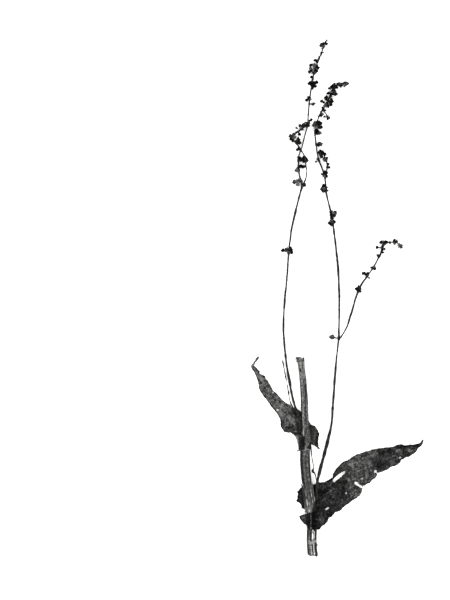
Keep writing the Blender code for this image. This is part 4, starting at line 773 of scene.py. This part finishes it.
def make_leaf(name, look):
    """A clasping leaf: its smooth surface with the ends of each row pulled to the ragged edge.

    The pull fades towards the midrib with the square of the place across. The blade's height has a midrib,
    slanting side veins, puckers between them and a curl at the rim, all functions of the length along and
    the place across.
    """
    leaf = LEAVES[name]
    grid = leaf_surface(leaf)
    rows, columns = grid.shape[:2]
    across = np.linspace(-1, 1, columns)[None, :, None]
    for margin, edge, side, seed in ((0, "low_edge", -1, 31), (-1, "high_edge", 1, 47)):
        pull = pull_to_edge(grid[:, margin, :2], leaf[edge], leaf["seed"] + seed)
        grid[..., :2] += np.maximum(side * across, 0) ** 2 * pull[:, None]
    middle = grid[:, columns // 2]
    along = lengths_along(middle)[:, None]
    away = np.linalg.norm(grid - middle[:, None], axis=2) * np.sign(across[..., 0])
    off = np.abs(away)
    half_width = np.maximum(off.max(axis=1, keepdims=True), 1e-5)
    thick = np.clip(half_width / 0.010, 0.1, 1)
    phase = (along - 0.55 * off + 0.0012 * value_noise(along, away, 0.008, 5)) / look.vein_spacing
    vein = np.exp(-((phase - np.round(phase)) / 0.075) ** 2) * np.clip(1.15 - off / half_width, 0, 1)
    vein = vein * np.clip(off / 0.0008, 0, 1) * thick
    midrib = np.exp(-(away / (0.00025 + 0.00035 * thick)) ** 2)
    pucker = layered_noise(along, away, 0.0042, leaf["seed"] + 3)
    ripple = np.sin(along / 0.0031 + 2 * value_noise(along, away, 0.01, 9)) * (off / half_width) ** 2
    height = 0.00010 * vein + (0.00026 * midrib + 0.00022 * pucker + 0.00016 * ripple) * thick
    calm = np.clip(np.minimum(along, along[-1] - along) / 0.004, 0, 1)
    blade = np.clip((along - look.base_length) / 0.012, 0, 1)
    grid[..., 2] = np.maximum(grid[..., 2] + height * calm * (0.4 + 0.6 * blade), 0.0002)
    used, quads = tear_holes(grid, grid_quads(rows, columns), leaf["holes"])
    margin = np.where(away < 0, off[:, :1], off[:, -1:])
    near_tone, far_tone = leaf["tones"]
    tone = near_tone + (far_tone - near_tone) * np.clip((along / along[-1] - 0.15) / 0.3, 0, 1) + 0 * away
    for *oval, amount in leaf["patches"]:
        tone = tone + amount * np.exp(-(oval_place(grid, oval)[2] ** 2))
    rim = np.clip(1 - (margin - off) / 0.0010, 0, 1)
    marks = {"rim": rim, "vein": np.maximum(vein, 0.6 * midrib), "tone": tone}
    marks = {mark: values.reshape(-1)[used] for mark, values in marks.items()}
    uv = np.stack((along / 0.2 + 0 * away, 0.5 + away / 0.2), axis=-1).reshape(-1, 2)[used]
    skin = dry_skin("pressed_blade", look.dark_colour, look.pale_colour)
    piece = add_piece(name + "_blade", grid.reshape(-1, 3)[used], [quads], skin, uv, marks)
    return thicken(piece, look.thickness)


def make_sheath(name, look):
    """A torn papery sheath round the stem: centre line + (half-width + gap) cos turn across and the same up.

    Both ends are ragged by a noise of the turn, and the paper is pleated by a cosine of the turn.
    """
    foot, head, first, last, slant, streaks = SHEATHS[name]
    turn = np.radians(np.linspace(first, last, SHEATH_COLUMNS))[None, :]
    share = np.linspace(0, 1, SHEATH_ROWS)[:, None]
    torn_foot = 0.0016 * layered_noise(turn, 0, 0.16, 81) + slant * np.clip(np.cos(turn) - 0.1, 0, 1)
    torn_head = 0.0022 * layered_noise(turn, 0, 0.13, 85)
    y = (foot + torn_foot) * (1 - share) + (head + torn_head) * share
    stem = smooth_route(STEM_ROUTE, 0.001)
    x, z, half_width = (np.interp(y, stem[:, 1], stem[:, k]) for k in (0, 2, 3))
    pleat = 0.00008 * np.cos(SHEATH_PLEATS * turn) + 0.00010 * layered_noise(turn, y / 0.01, 0.2, 90)
    flare = 0.0004 * share**3 + 0.0003 * (1 - share) ** 4
    stand_off = SHEATH_GAP + 0.05 * half_width + pleat + flare
    across = x + (half_width + stand_off) * np.cos(turn)
    up = z + (STEM_FLATTENING * half_width + stand_off) * np.sin(turn)
    uv = np.stack((turn / (2 * math.pi) + 0 * y, 0 * turn + share * (head - foot) / SKIN_LENGTH), axis=-1)
    foot_wear_and_shade = np.clip((0.42 - share) / 0.35, 0, 1)
    # At the foot the side of small turn, where shaded is above nought, is darkened with painted shade; the
    # rest of the foot is paler with wear.
    shaded = 0.5 + 0.9 * foot_wear_and_shade - turn
    tone = 0.16 * foot_wear_and_shade * np.clip(-shaded / 0.2, 0, 1)
    tone = tone - 0.25 * np.clip((turn - 2.5) / 0.3, 0, 1) * (1 - foot_wear_and_shade)
    tone = tone - 0.7 * np.clip(shaded / 0.15, 0, 1) * np.clip(4 * foot_wear_and_shade, 0, 1)
    tone = tone + streak_tone(streaks, np.degrees(turn), y)
    skin = dry_skin("papery_sheath", look.dark_colour, look.pale_colour)
    quads = grid_quads(SHEATH_ROWS, SHEATH_COLUMNS)[:, ::-1]
    grid = np.stack((across, y, up), axis=-1)
    return thicken(add_piece(name + "_paper", grid, [quads], skin, uv, {"tone": tone}), look.thickness)


def stalk_tube(route, whorls, look, seed):
    """An axis: rings of ridged outline along its route, swollen where a whorl of fruit leaves it."""
    path = smooth_route(route, 0.0008)
    lengths = lengths_along(path[:, :3])
    turn = turns(STALK_SIDES)
    swelling = np.zeros(len(path))
    for x, y, *_ in whorls:
        swelling += 0.55 * np.exp(-((lengths - lengths[nearest_on(path, x, y)]) / 0.0009) ** 2)
    wiggle = 0.00009 * layered_noise(lengths, 0, 0.006, seed, 2)
    centres = path[:, :3] + np.stack((wiggle, 0 * wiggle, 0.5 * wiggle), axis=1)
    radius, spot = path[:, 3:4], lengths[:, None]
    worn_thin = len(whorls) == 0 and radius.max() < 0.00035
    uneven = (0.75 if worn_thin else 0.18) * layered_noise(spot, 0, 0.0032, seed + 9, 2)
    rough = 0.09 * np.cos(6 * turn) + 0.10 * value_noise(spot, turn * 0.002, 0.0012, seed + 5)
    reach = radius * look.stalk_width * (1 + np.minimum(swelling, 0.7)[:, None]) * (1 + uneven + rough)
    reach = np.maximum(reach, 0.25 * radius)
    reach[-1] *= 0.5
    return tube(centres, reach, lengths)


def husk_tube(route, whorl, look, seed):
    """A short torn papery husk round an axis at a whorl: a cup that flares upwards, thin at the mouth."""
    path = smooth_route(route, HUSK_STEP)
    first = int(np.clip(nearest_on(path, *whorl[:2]) - 3, 0, len(path) - len(HUSK_FLARE) - 1))
    piece = path[first:first + len(HUSK_FLARE)]
    reach = np.maximum(piece[:, 3:4], 0.0003) * look.stalk_width * HUSK_FLARE
    reach = reach * (1 + 0.18 * value_noise(turns(HUSK_SIDES) * 1.7, HUSK_FLARE, 1.0, seed))
    centres = piece[:, :3] + HUSK_SLIDE * unit(np.gradient(piece[:, :3], axis=0))
    return tube(centres, reach, np.arange(len(piece)) * HUSK_STEP, HUSK_RIM)


def make_stalks(branch, look):
    """The branch's axes and the papery husk of every whorl, as one piece."""
    seed, *sprays = BRANCHES[branch]
    tubes = []
    for number, (route, whorls) in enumerate(sprays):
        tubes.append(stalk_tube(route, whorls, look, seed + 3 * number))
        tubes += [
            husk_tube(route, whorl, look, seed + 7 * k) for k, whorl in enumerate(whorls) if whorl[3] > 1
        ]
    return add_tubes(branch + "_stalks", tubes, look)


def fruit_places(route, whorls, seed):
    """For each fruit its root on the axis, its middle, its size and how papery it is.

    A whorl's fruits fan out round its middle like seeds on a sunflower's head, all from the nearest of the
    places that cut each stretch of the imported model's axis in equal pieces. A fruit that would sit in the
    axis is raised above it, and none reaches the floor.
    """
    draw = np.random.default_rng(seed)
    path = smooth_route(route, CAD_STEP)
    path = read_between(path, np.linspace(0, len(path) - 1, CAD_ROOTS_PER_STEP * (len(path) - 1) + 1))
    placed = [np.empty((0, 8))]
    for x, y, spread, count, size, papery in whorls:
        root = path[nearest_on(path, x, y), :3]
        order = np.arange(int(count))
        turn = GOLDEN_ANGLE * order + draw.uniform(0, 2 * math.pi)
        away = spread * np.sqrt((order + 0.5) / count)
        middle = np.stack((x + away * np.cos(turn), y + away * np.sin(turn), root[2] + 0 * away), axis=1)
        sideways = np.linalg.norm(middle[:, :2] - root[:2], axis=1)
        middle[:, 2] += np.sqrt(np.maximum((FRUIT_LIFT * size) ** 2 - sideways**2, 0))
        middle[:, 2] += draw.uniform(-0.3, 0.4, len(order)) * size
        middle[:, 2] = np.maximum(middle[:, 2], FRUIT_FLOOR_REACH * size + FLOOR_CLEARANCE)
        placed.append(np.column_stack((0 * middle + root, middle, 0 * away + size, 0 * away + papery)))
    return np.concatenate(placed)


def make_fruits(branch, look):
    """All fruits of a branch: three wings round a nut, each fruit on its own bent stalklet.

    A fruit's point is its middle + height times the axis + reach (cos turn sideways + sin turn up), where
    reach is the wing's or the waist's outline, waved along the wing. A stalklet is a four-sided tube along
    a quadratic curve.
    """
    seed, *sprays = BRANCHES[branch]
    placed = np.concatenate([fruit_places(*spray, seed + number) for number, spray in enumerate(sprays)])
    draw = np.random.default_rng(seed + 100)
    count = len(placed)
    root, middle, size, papery = placed[:, :3], placed[:, 3:6], placed[:, 6], placed[:, 7]
    scale = (size * look.fruit_size)[:, None]
    axis = unit(middle - root + draw.normal(0, 0.25, (count, 3)) * size[:, None])
    side = unit(np.cross(axis, unit(draw.normal(0, 1, (count, 3)))))
    turn = (turns(FRUIT_WINGS)[:, None] + FRUIT_TURNS).ravel()
    sides, rings = len(turn), len(FRUIT_HEIGHTS)
    on_wing = np.tile((0.0, 1.0, 0.0), FRUIT_WINGS)
    swell = 1 + 0.16 * draw.normal(0, 1, (count, 1, sides)).clip(-2, 2)
    reach = (WAIST_REACH * (1 - on_wing) * 1.15 + WING_REACH * on_wing) * swell * scale[..., None]
    heights = FRUIT_HEIGHTS[:, None]
    twist = 0.5 * heights * draw.normal(0, 1, (count, 1, 1))
    wave = 0.16 * np.sin(9 * heights + draw.uniform(0, 6.3, (count, 1, sides))) * on_wing
    centres = (middle[:, None] + (FRUIT_HEIGHTS * scale)[..., None] * axis[:, None])[:, :, None]
    up = np.cross(axis, side)[:, None, None]
    body = spoke_ends(centres, reach, turn + twist + wave, side[:, None, None], up)
    tips = np.stack((-FRUIT_TIP * np.ones(count), FRUIT_TIP + 0.1 * draw.uniform(0, 1, count)), axis=1)
    poles = middle[:, None] + (tips * scale)[..., None] * axis[:, None]
    share = np.linspace(0, 1, len(STALKLET_FLARE))[None, :, None]
    neck = middle - 0.45 * scale * axis
    bend = (root + neck) / 2 + draw.normal(0, 0.12, (count, 3)) * size[:, None]
    path = (1 - share) ** 2 * root[:, None] + 2 * share * (1 - share) * bend[:, None]
    path = path + share**2 * neck[:, None]
    tangent = unit(np.gradient(path, axis=1) + 1e-9)
    across = unit(np.cross(tangent, (0.31, 0.22, 0.92)))
    stalks = spoke_ends(
        path[:, :, None], look.stalklet_radius * STALKLET_FLARE[None, :, None], turns(STALKLET_SIDES),
        across[:, :, None], np.cross(tangent, across)[:, :, None],
    )
    groups = ((body, poles), (stalks, np.stack((root, neck), axis=1)))
    points = [np.concatenate((tubes.reshape(count, -1, 3), ends), axis=1) for tubes, ends in groups]
    fruit_size, stalk_size = points[0].shape[1], points[1].shape[1]
    faces = [
        *tube_faces(rings, sides, np.arange(count) * fruit_size),
        *tube_faces(len(STALKLET_FLARE), STALKLET_SIDES, np.arange(count) * stalk_size + count * fruit_size),
    ]
    points = np.concatenate([group.reshape(-1, 3) for group in points])
    points[:, 2] = np.maximum(points[:, 2], 0.00003)
    tone = np.repeat(1.05 * draw.uniform(0, 1, count) ** 2 + papery, fruit_size)
    rim = np.tile(np.append(np.tile(on_wing, rings), (0, 0)), count)
    plain = np.ones(count * stalk_size)
    marks = {"rim": np.append(rim, 0.35 * plain), "tone": np.append(tone, 0.2 * plain)}
    skin = dry_skin("winged_fruit", look.nut_colour, look.wing_colour)
    piece = add_piece(branch + "_fruits", points, faces, skin, None, marks)
    piece.data.polygons.foreach_set("use_smooth", np.zeros(len(piece.data.polygons), bool))
    return piece


def make_fibres(look):
    """Loose hairs, broken fibres and crumbs: tapering six-sided tubes along smooth paths."""
    tubes = []
    for radius, *places in LOOSE_FIBRES:
        path = smooth_route(metres(*places), 0.0003)
        taper = np.sqrt(np.clip(1.15 - np.linspace(0, 1, len(path)), 0, 1))
        reach = np.repeat((radius / 1000 * taper)[:, None], FIBRE_SIDES, axis=1)
        tubes.append(tube(path, reach, lengths_along(path)))
    return add_tubes("loose_fibres", tubes, look)


def put(tree, kind, inputs, **settings):
    """Outputs of a new shader node, with each input set to its value or linked to another node's output."""
    node = tree.nodes.new("ShaderNode" + kind)
    for key, value in settings.items():
        setattr(node, key, value)
    feed(tree, node, inputs)
    return node.outputs


def feed(tree, node, inputs):
    for key, value in inputs.items():
        if isinstance(value, bpy.types.NodeSocket):
            tree.links.new(value, node.inputs[key])
        else:
            node.inputs[key].default_value = value


def arithmetic(tree, operation, first, second=0.5, third=0.5):
    return put(tree, "Math", {0: first, 1: second, 2: third}, operation=operation)[0]


def ramp(tree, value, low, high, to_low=0.0, to_high=1.0):
    inputs = {"Value": value, "From Min": low, "From Max": high, "To Min": to_low, "To Max": to_high}
    return put(tree, "MapRange", inputs, clamp=True)["Result"]


def blend(tree, share, first, second, mode="MIX"):
    return put(tree, "Mix", {0: share, 6: first, 7: second}, data_type="RGBA", blend_type=mode)[2]


def noise(tree, vector, scale, detail, roughness):
    return put(tree, "TexNoise", {"Vector": vector, "Scale": scale, "Detail": detail, "Roughness": roughness})


def fill_fibres(group, given):
    """Long thin streaks along the skin: noise of the turn times Across and of the length times Along."""
    scale = put(group, "CombineXYZ", {"X": given["Across"], "Y": given["Along"], "Z": 1.0})[0]
    stretched = put(group, "VectorMath", {0: given["Vector"], 1: scale}, operation="MULTIPLY")[0]
    coarse, fine = noise(group, stretched, 1.0, 6.0, 0.65)[0], noise(group, stretched, 3.1, 4.0, 0.7)[0]
    return {"Streaks": ramp(group, coarse, 0.36, 0.64), "Flecks": ramp(group, fine, 0.42, 0.62)}


def fill_net(group, given):
    """A net of veins: the thin borders of Voronoi cells, bent by noise; one on a vein, nought between."""
    bend = noise(group, given["Vector"], given["Cells"], 2.0, 0.5)["Color"]
    bent = put(
        group, "VectorMath", {0: bend, 1: (0.012, 0.012, 0.0), 2: given["Vector"]}, operation="MULTIPLY_ADD"
    )[0]
    slanted = put(group, "VectorMath", {0: bent, 1: (1.0, 0.55, 1.0)}, operation="MULTIPLY")[0]
    cells = put(group, "TexVoronoi", {"Vector": slanted, "Scale": given["Cells"]}, feature="DISTANCE_TO_EDGE")
    return {"Veins": ramp(group, cells["Distance"], 0.03, 0.20, 1.0, 0.0)}


def fill_mottle(group, given):
    """Dry blotches and a finer grain in the object's own space: two noises."""
    blotches = noise(group, given["Vector"], given["Size"], 5.0, 0.62)[0]
    grain = noise(group, given["Vector"], arithmetic(group, "MULTIPLY", given["Size"], 3.6), 4.0, 0.85)[0]
    return {"Blotches": ramp(group, blotches, 0.35, 0.66), "Grain": ramp(group, grain, 0.37, 0.65)}


def fill_tone(group, given):
    """Even steps of contrast between two greys: (ratio to the share, less one) / (ratio, less one)."""
    power = arithmetic(group, "POWER", given["Ratio"], ramp(group, given["Share"], 0.0, 1.0))
    above, whole = (arithmetic(group, "SUBTRACT", value, 1.0) for value in (power, given["Ratio"]))
    return {"Share": arithmetic(group, "DIVIDE", above, whole)}


# Shader groups: what fills each, its inputs with their defaults (none for a vector), and its outputs.
GROUPS = {
    "sorrel_fibres": (fill_fibres, {"Vector": None, "Across": 40.0, "Along": 8.0}, ("Streaks", "Flecks")),
    "sorrel_net": (fill_net, {"Vector": None, "Cells": 60.0}, ("Veins",)),
    "sorrel_mottle": (fill_mottle, {"Vector": None, "Size": 300.0}, ("Blotches", "Grain")),
    "sorrel_tone": (fill_tone, {"Share": 0.5, "Ratio": 30.0}, ("Share",)),
}


def place_group(tree, name, inputs):
    """Outputs of a node of the named group, which is made the first time it is asked for."""
    group = bpy.data.node_groups.get(name)
    if group is None:
        fill, defaults, results = GROUPS[name]
        group = bpy.data.node_groups.new(name, "ShaderNodeTree")
        for label, default in defaults.items():
            kind = "NodeSocketVector" if default is None else "NodeSocketFloat"
            socket = group.interface.new_socket(label, in_out="INPUT", socket_type=kind)
            if default is not None:
                socket.default_value = default
        for label in results:
            group.interface.new_socket(label, in_out="OUTPUT", socket_type="NodeSocketFloat")
        filled = fill(group, group.nodes.new("NodeGroupInput").outputs)
        feed(group, group.nodes.new("NodeGroupOutput"), filled)
    return put(tree, "Group", inputs, node_tree=group)


def mottle(tree, size):
    """Blotches and grain in the object's own space."""
    place = put(tree, "TexCoord", {})["Object"]
    return place_group(tree, "sorrel_mottle", {"Vector": place, "Size": size})


def mark_value(tree, name):
    return put(tree, "Attribute", {}, attribute_name=name)["Fac"]


def opaque(colour):
    return (*colour, 1.0)


def new_skin(name, roughness, specular):
    """A material with its shader, ready for a colour and a bump."""
    material = bpy.data.materials.new(name)
    material.use_nodes = True
    shader = material.node_tree.nodes["Principled BSDF"]
    feed(material.node_tree, shader, {"Roughness": roughness, "Specular IOR Level": specular})
    return material, material.node_tree, shader


# Dry skins: roughness and shine, the mottle's size, the groups laid on the skin, then what the share of
# pale colour and the height of the bump are summed from. A capital letter is a group's output, a small one
# a mark on the piece.
SKINS = {
    # Ribbed stem: dark and pale fibres along it, its streaks, and painted shade in the hollows of its broken
    # ends.
    "dry_stem": {
        "finish": (0.82, 0.08), "mottle": 180.0, "start": 0.13,
        "on_skin": {"sorrel_fibres": {"Across": 24.0, "Along": 42.0}},
        "share": {"streak": 1.0, "Streaks": 0.24, "Flecks": 0.12, "Grain": 0.62},
        "height": {"Streaks": 1.0, "Flecks": 0.5}, "depth": 0.00014,
    },
    # Pressed blade: grain and blotches, a net of fine veins, dark rims and soft patches of tone.
    "pressed_blade": {
        "finish": (0.8, 0.02), "mottle": 190.0,
        "on_skin": {"sorrel_fibres": {"Across": 34.0, "Along": 170.0}, "sorrel_net": {"Cells": 62.0}},
        "start": -0.46, "share": {
            "tone": 1.0, "Grain": 0.62, "Blotches": 0.14, "Streaks": 0.22, "Veins": 0.14, "vein": 0.10,
            "rim": -0.26,
        },
        "height": {"Grain": 1.0, "Veins": 0.6}, "depth": 0.00014,
    },
    # Papery sheath: bleached fibres with dark lengthwise tears; palest at its worn foot, with painted shade
    # on its right.
    "papery_sheath": {
        "finish": (0.75, 0.1), "mottle": 230.0, "on_skin": {"sorrel_fibres": {"Across": 26.0, "Along": 5.0}},
        "start": 0.0, "share": {"tone": 1.0, "Streaks": 0.40, "Flecks": 0.14, "Grain": 0.42},
        "height": {"Streaks": 1.0}, "depth": 0.00010,
    },
    # Wiry stalk: paler fibres and stretches; the husks at the whorls are papery towards their mouths.
    "wiry_stalk": {
        "finish": (0.82, 0.05), "mottle": 240.0, "on_skin": {"sorrel_fibres": {"Across": 7.0, "Along": 9.0}},
        "start": 0.0, "share": {"rim": 1.0, "Streaks": 0.36, "Grain": 0.62},
        "height": {"Streaks": 1.0}, "depth": 0.00006,
    },
    # Winged fruit: near-black nut, wings fading to a papery rim, each fruit with its own tone.
    "winged_fruit": {
        "finish": (0.8, 0.05), "mottle": 500.0, "on_skin": {},
        "start": -0.15, "share": {"tone": 1.0, "rim": 0.35, "Grain": 0.30},
        "height": {"Grain": 1.0}, "depth": 0.00008,
    },
}


def dry_skin(name, dark, pale, bleached=None, hollow=None):
    """A dry skin: its colour goes from dark to pale in even steps with the sum of its patterns and marks.

    A very high share turns to the bleached colour, and the mark hollow to the hollow's colour, a painted
    shade.
    """
    if name in bpy.data.materials:
        return bpy.data.materials[name]
    row = SKINS[name]
    material, tree, shader = new_skin(name, *row["finish"])
    patterns = dict(mottle(tree, row["mottle"]).items())
    for group, inputs in row["on_skin"].items():
        skin = put(tree, "UVMap", {}, uv_map=SKIN_UV)[0]
        patterns.update(place_group(tree, group, {"Vector": skin, **inputs}).items())

    def total(weights, start=0.0):
        for label, weight in weights.items():
            value = patterns[label] if label in patterns else mark_value(tree, label)
            start = arithmetic(tree, "MULTIPLY_ADD", value, weight, start)
        return start

    share = total(row["share"], row["start"])
    even = place_group(tree, "sorrel_tone", {"Share": share, "Ratio": pale[0] / dark[0]})["Share"]
    colour = blend(tree, even, opaque(dark), opaque(pale))
    if bleached is not None:
        colour = blend(tree, ramp(tree, share, *BLEACHED_SHARE), colour, opaque(bleached))
        # Painted shade in the stem's broken ends and their hollows.
        colour = blend(tree, mark_value(tree, "hollow"), colour, opaque(hollow))
    bump = put(tree, "Bump", {"Height": total(row["height"]), "Strength": 0.7, "Distance": row["depth"]})[0]
    feed(tree, shader, {"Base Color": colour, "Normal": bump})
    return material


def sheet_skin(look):
    """Pale matt sheet with a faint felted grain; it glows a little, painted light that fills in the shadows.
    """
    material, tree, shader = new_skin("pale_sheet", 1.0, 0.0)
    tint = ramp(tree, mottle(tree, 60.0)["Grain"], 0.0, 1.0, 0.985, 1.0)
    pale = put(tree, "CombineXYZ", {"X": tint, "Y": tint, "Z": tint})[0]
    colour = blend(tree, 1.0, opaque(look.sheet_colour), pale, "MULTIPLY")
    # Painted light: the sheet glows though it is no lamp, which fills in the shadows round the sprig.
    shadow_fill_glow = {"Emission Color": (1, 1, 1, 1), "Emission Strength": SHEET_SHADOW_FILL_GLOW}
    feed(tree, shader, {"Base Color": colour, **shadow_fill_glow})
    return material


def make_stage(look):
    """A wide sheet under the sprig, four soft lamps round it and a camera above the frame's middle."""
    x, y = SHEET_MIDDLE
    corners = np.array(((-1, -1, 0), (1, -1, 0), (1, 1, 0), (-1, 1, 0))) * look.sheet_size / 2 + (x, y, 0)
    sheet = add_piece("pale_sheet", corners, [np.arange(4)[None]], sheet_skin(look))
    for number, turn in enumerate(np.radians((45, 135, 225, 315))):
        lamp = bpy.data.lights.new(f"lamp_{number}", "AREA")
        lamp.shape, lamp.size, lamp.energy = "DISK", look.lamp_size, look.lamp_power
        away = look.lamp_distance * math.sin(LAMP_TILT)
        holder = link(lamp.name, lamp)
        holder.location = (
            x + away * math.cos(turn), y + away * math.sin(turn), look.lamp_distance * math.cos(LAMP_TILT)
        )
        holder.rotation_euler = (LAMP_TILT, 0, turn + math.pi / 2)
    world = bpy.data.worlds.new("soft_room")
    world.use_nodes = True
    backdrop = world.node_tree.nodes["Background"]
    feed(world.node_tree, backdrop, {"Color": (1, 1, 1, 1), "Strength": look.room_light})
    bpy.context.scene.world = world
    lens = bpy.data.cameras.new("overhead")
    lens.lens, lens.sensor_width, lens.clip_end = look.lens, 36.0, 20.0
    camera = link("overhead", lens)
    camera.location = (x, y, SHEET_HEIGHT * look.lens / lens.sensor_width + 0.002)
    bpy.context.scene.camera = camera
    bpy.context.scene.view_settings.view_transform = "Standard"


def length_setting(name, description, default, low, high):
    return FloatProperty(
        name=name, description=description, default=default, min=low, max=high, precision=5,
        unit="LENGTH", subtype="DISTANCE",
    )


def share_setting(name, description, default, low=0.0, high=1.0):
    return FloatProperty(
        name=name, description=description, default=default, min=low, max=high, subtype="FACTOR"
    )


def colour_setting(name, description, grey):
    """A near-neutral grey, a hair warmer in red than in blue."""
    return FloatVectorProperty(
        name=name, description=description, default=(grey, grey * 0.995, grey * 0.98), size=3,
        min=0.0, max=1.0, subtype="COLOR",
    )


class StemLook(bpy.types.PropertyGroup):
    rib_height: share_setting(
        "Rib height", "Height of the eight ribs over the stem's half-width", 0.05, 0.0, 0.2
    )
    dark_colour: colour_setting("Furrows", "Colour of the dark fibres", 0.006)
    pale_colour: colour_setting("Ribs", "Colour of the pale fibres", 0.24)
    bleached_colour: colour_setting("Bleached", "Colour of bare bleached fibre", 0.85)
    # Painted shade: the dark colour inside the stem's broken ends and their hollows.
    hollow_shade_colour: colour_setting("Hollow", "Colour inside the broken ends", 0.02)


class LeafLook(bpy.types.PropertyGroup):
    thickness: length_setting("Thickness", "Thickness of the pressed blade", 0.0003, 0.0001, 0.001)
    vein_spacing: length_setting(
        "Vein spacing", "Distance between side veins along the midrib", 0.0068, 0.002, 0.02
    )
    base_length: length_setting(
        "Clasping base", "Length of the base that stays plain round the stem", 0.012, 0.0, 0.03
    )
    dark_colour: colour_setting("Blade, dark", "Colour of the darkest grain", 0.0014)
    pale_colour: colour_setting("Blade, pale", "Colour of the palest grain", 0.13)


class SheathLook(bpy.types.PropertyGroup):
    thickness: length_setting("Thickness", "Thickness of the paper", 0.0002, 0.0001, 0.001)
    dark_colour: colour_setting("Tears", "Colour between the pale fibres", 0.008)
    pale_colour: colour_setting("Paper", "Colour of the bleached paper", 0.42)


class BranchLook(bpy.types.PropertyGroup):
    stalk_width: share_setting("Stalk width", "Stalk radius over the packed model's", 1.10, 0.3, 1.3)
    stalklet_radius: length_setting(
        "Stalklet radius", "Radius of the stalklet under each fruit", 0.00026, 0.0001, 0.0005
    )
    fruit_size: share_setting("Fruit size", "Fruit size over the packed model's", 1.22, 0.5, 1.5)
    stalk_dark: colour_setting("Stalk, dark", "Colour of the dark fibres", 0.002)
    stalk_pale: colour_setting("Stalk, pale", "Colour of the pale fibres and of the husks' mouths", 0.12)
    nut_colour: colour_setting("Nut", "Colour of the nut and of the wings' roots", 0.0012)
    wing_colour: colour_setting("Wings", "Colour of the wings' papery rim", 0.10)


class StageLook(bpy.types.PropertyGroup):
    sheet_size: length_setting("Sheet size", "Side of the pale sheet", 40.0, 1.0, 60.0)
    sheet_colour: colour_setting("Sheet", "Colour of the pale sheet", 0.92)
    lamp_size: length_setting("Lamp size", "Width of each soft lamp", 0.9, 0.1, 3.0)
    lamp_distance: length_setting("Lamp distance", "Distance of each lamp from the sprig", 1.3, 0.3, 5.0)
    lamp_power: FloatProperty(
        name="Lamp power", description="Power of each lamp", default=9.0, min=0.0, unit="POWER"
    )
    room_light: share_setting("Room light", "Strength of the even light from all round", 0.45, 0.0, 3.0)
    lens: FloatProperty(
        name="Lens", description="Focal length of the overhead camera", default=100.0, min=20.0, unit="CAMERA"
    )


class SORREL_OT_stem(bpy.types.Operator):
    """Make the broken, ribbed main stem"""
    bl_idname = "sorrel.stem"
    bl_label = "Stem"

    def execute(self, context):
        dress(make_stem(context.scene.sorrel_stem), "stem", "main_stem")
        return {"FINISHED"}


class SORREL_OT_leaves(bpy.types.Operator):
    """Make the two clasping leaves"""
    bl_idname = "sorrel.leaves"
    bl_label = "Leaves"

    def execute(self, context):
        for name in LEAVES:
            dress(make_leaf(name, context.scene.sorrel_leaf), "leaf", name)
        return {"FINISHED"}


class SORREL_OT_sheaths(bpy.types.Operator):
    """Make the torn papery sheaths at the nodes"""
    bl_idname = "sorrel.sheaths"
    bl_label = "Sheaths"

    def execute(self, context):
        for name in SHEATHS:
            dress(make_sheath(name, context.scene.sorrel_sheath), "sheath", name)
        return {"FINISHED"}


class SORREL_OT_stalks(bpy.types.Operator):
    """Make the wiry stalks of the three branches"""
    bl_idname = "sorrel.stalks"
    bl_label = "Stalks"

    def execute(self, context):
        for branch in BRANCHES:
            dress(make_stalks(branch, context.scene.sorrel_branch), "branch", branch)
        return {"FINISHED"}


class SORREL_OT_fruits(bpy.types.Operator):
    """Make the winged fruits of the three branches"""
    bl_idname = "sorrel.fruits"
    bl_label = "Fruits"

    def execute(self, context):
        for branch in BRANCHES:
            dress(make_fruits(branch, context.scene.sorrel_branch), "branch", branch)
        return {"FINISHED"}


class SORREL_OT_fibres(bpy.types.Operator):
    """Make the loose hairs and the broken fibres"""
    bl_idname = "sorrel.fibres"
    bl_label = "Loose fibres"

    def execute(self, context):
        dress(make_fibres(context.scene.sorrel_branch), "stem")
        return {"FINISHED"}


class SORREL_OT_stage(bpy.types.Operator):
    """Make the pale sheet, the lamps and the overhead camera"""
    bl_idname = "sorrel.stage"
    bl_label = "Stage"

    def execute(self, context):
        make_stage(context.scene.sorrel_stage)
        return {"FINISHED"}


STEPS = (
    SORREL_OT_stage, SORREL_OT_stem, SORREL_OT_leaves, SORREL_OT_sheaths, SORREL_OT_stalks, SORREL_OT_fruits,
    SORREL_OT_fibres,
)
LOOKS = {
    "sorrel_stem": StemLook, "sorrel_leaf": LeafLook, "sorrel_sheath": SheathLook,
    "sorrel_branch": BranchLook, "sorrel_stage": StageLook,
}


class VIEW3D_PT_sorrel(bpy.types.Panel):
    """Sizes, colours and steps of the sprig"""
    bl_label = "Sorrel sprig"
    bl_space_type = "VIEW_3D"
    bl_region_type = "UI"
    bl_category = "Sorrel sprig"

    def draw(self, context):
        for step in STEPS:
            self.layout.operator(step.bl_idname)
        for pointer, look in LOOKS.items():
            box = self.layout.box()
            for setting in look.__annotations__:
                box.prop(getattr(context.scene, pointer), setting)


def register():
    for made in (*LOOKS.values(), *STEPS, VIEW3D_PT_sorrel):
        bpy.utils.register_class(made)
    for pointer, look in LOOKS.items():
        setattr(bpy.types.Scene, pointer, PointerProperty(type=look))


def unregister():
    for pointer in LOOKS:
        delattr(bpy.types.Scene, pointer)
    for made in (VIEW3D_PT_sorrel, *reversed(STEPS), *reversed(tuple(LOOKS.values()))):
        bpy.utils.unregister_class(made)


def main():
    register()
    for step in STEPS:
        area, action = step.bl_idname.split(".")
        getattr(getattr(bpy.ops, area), action)()
    bpy.context.view_layer.update()


if __name__ == "__main__":
    main()
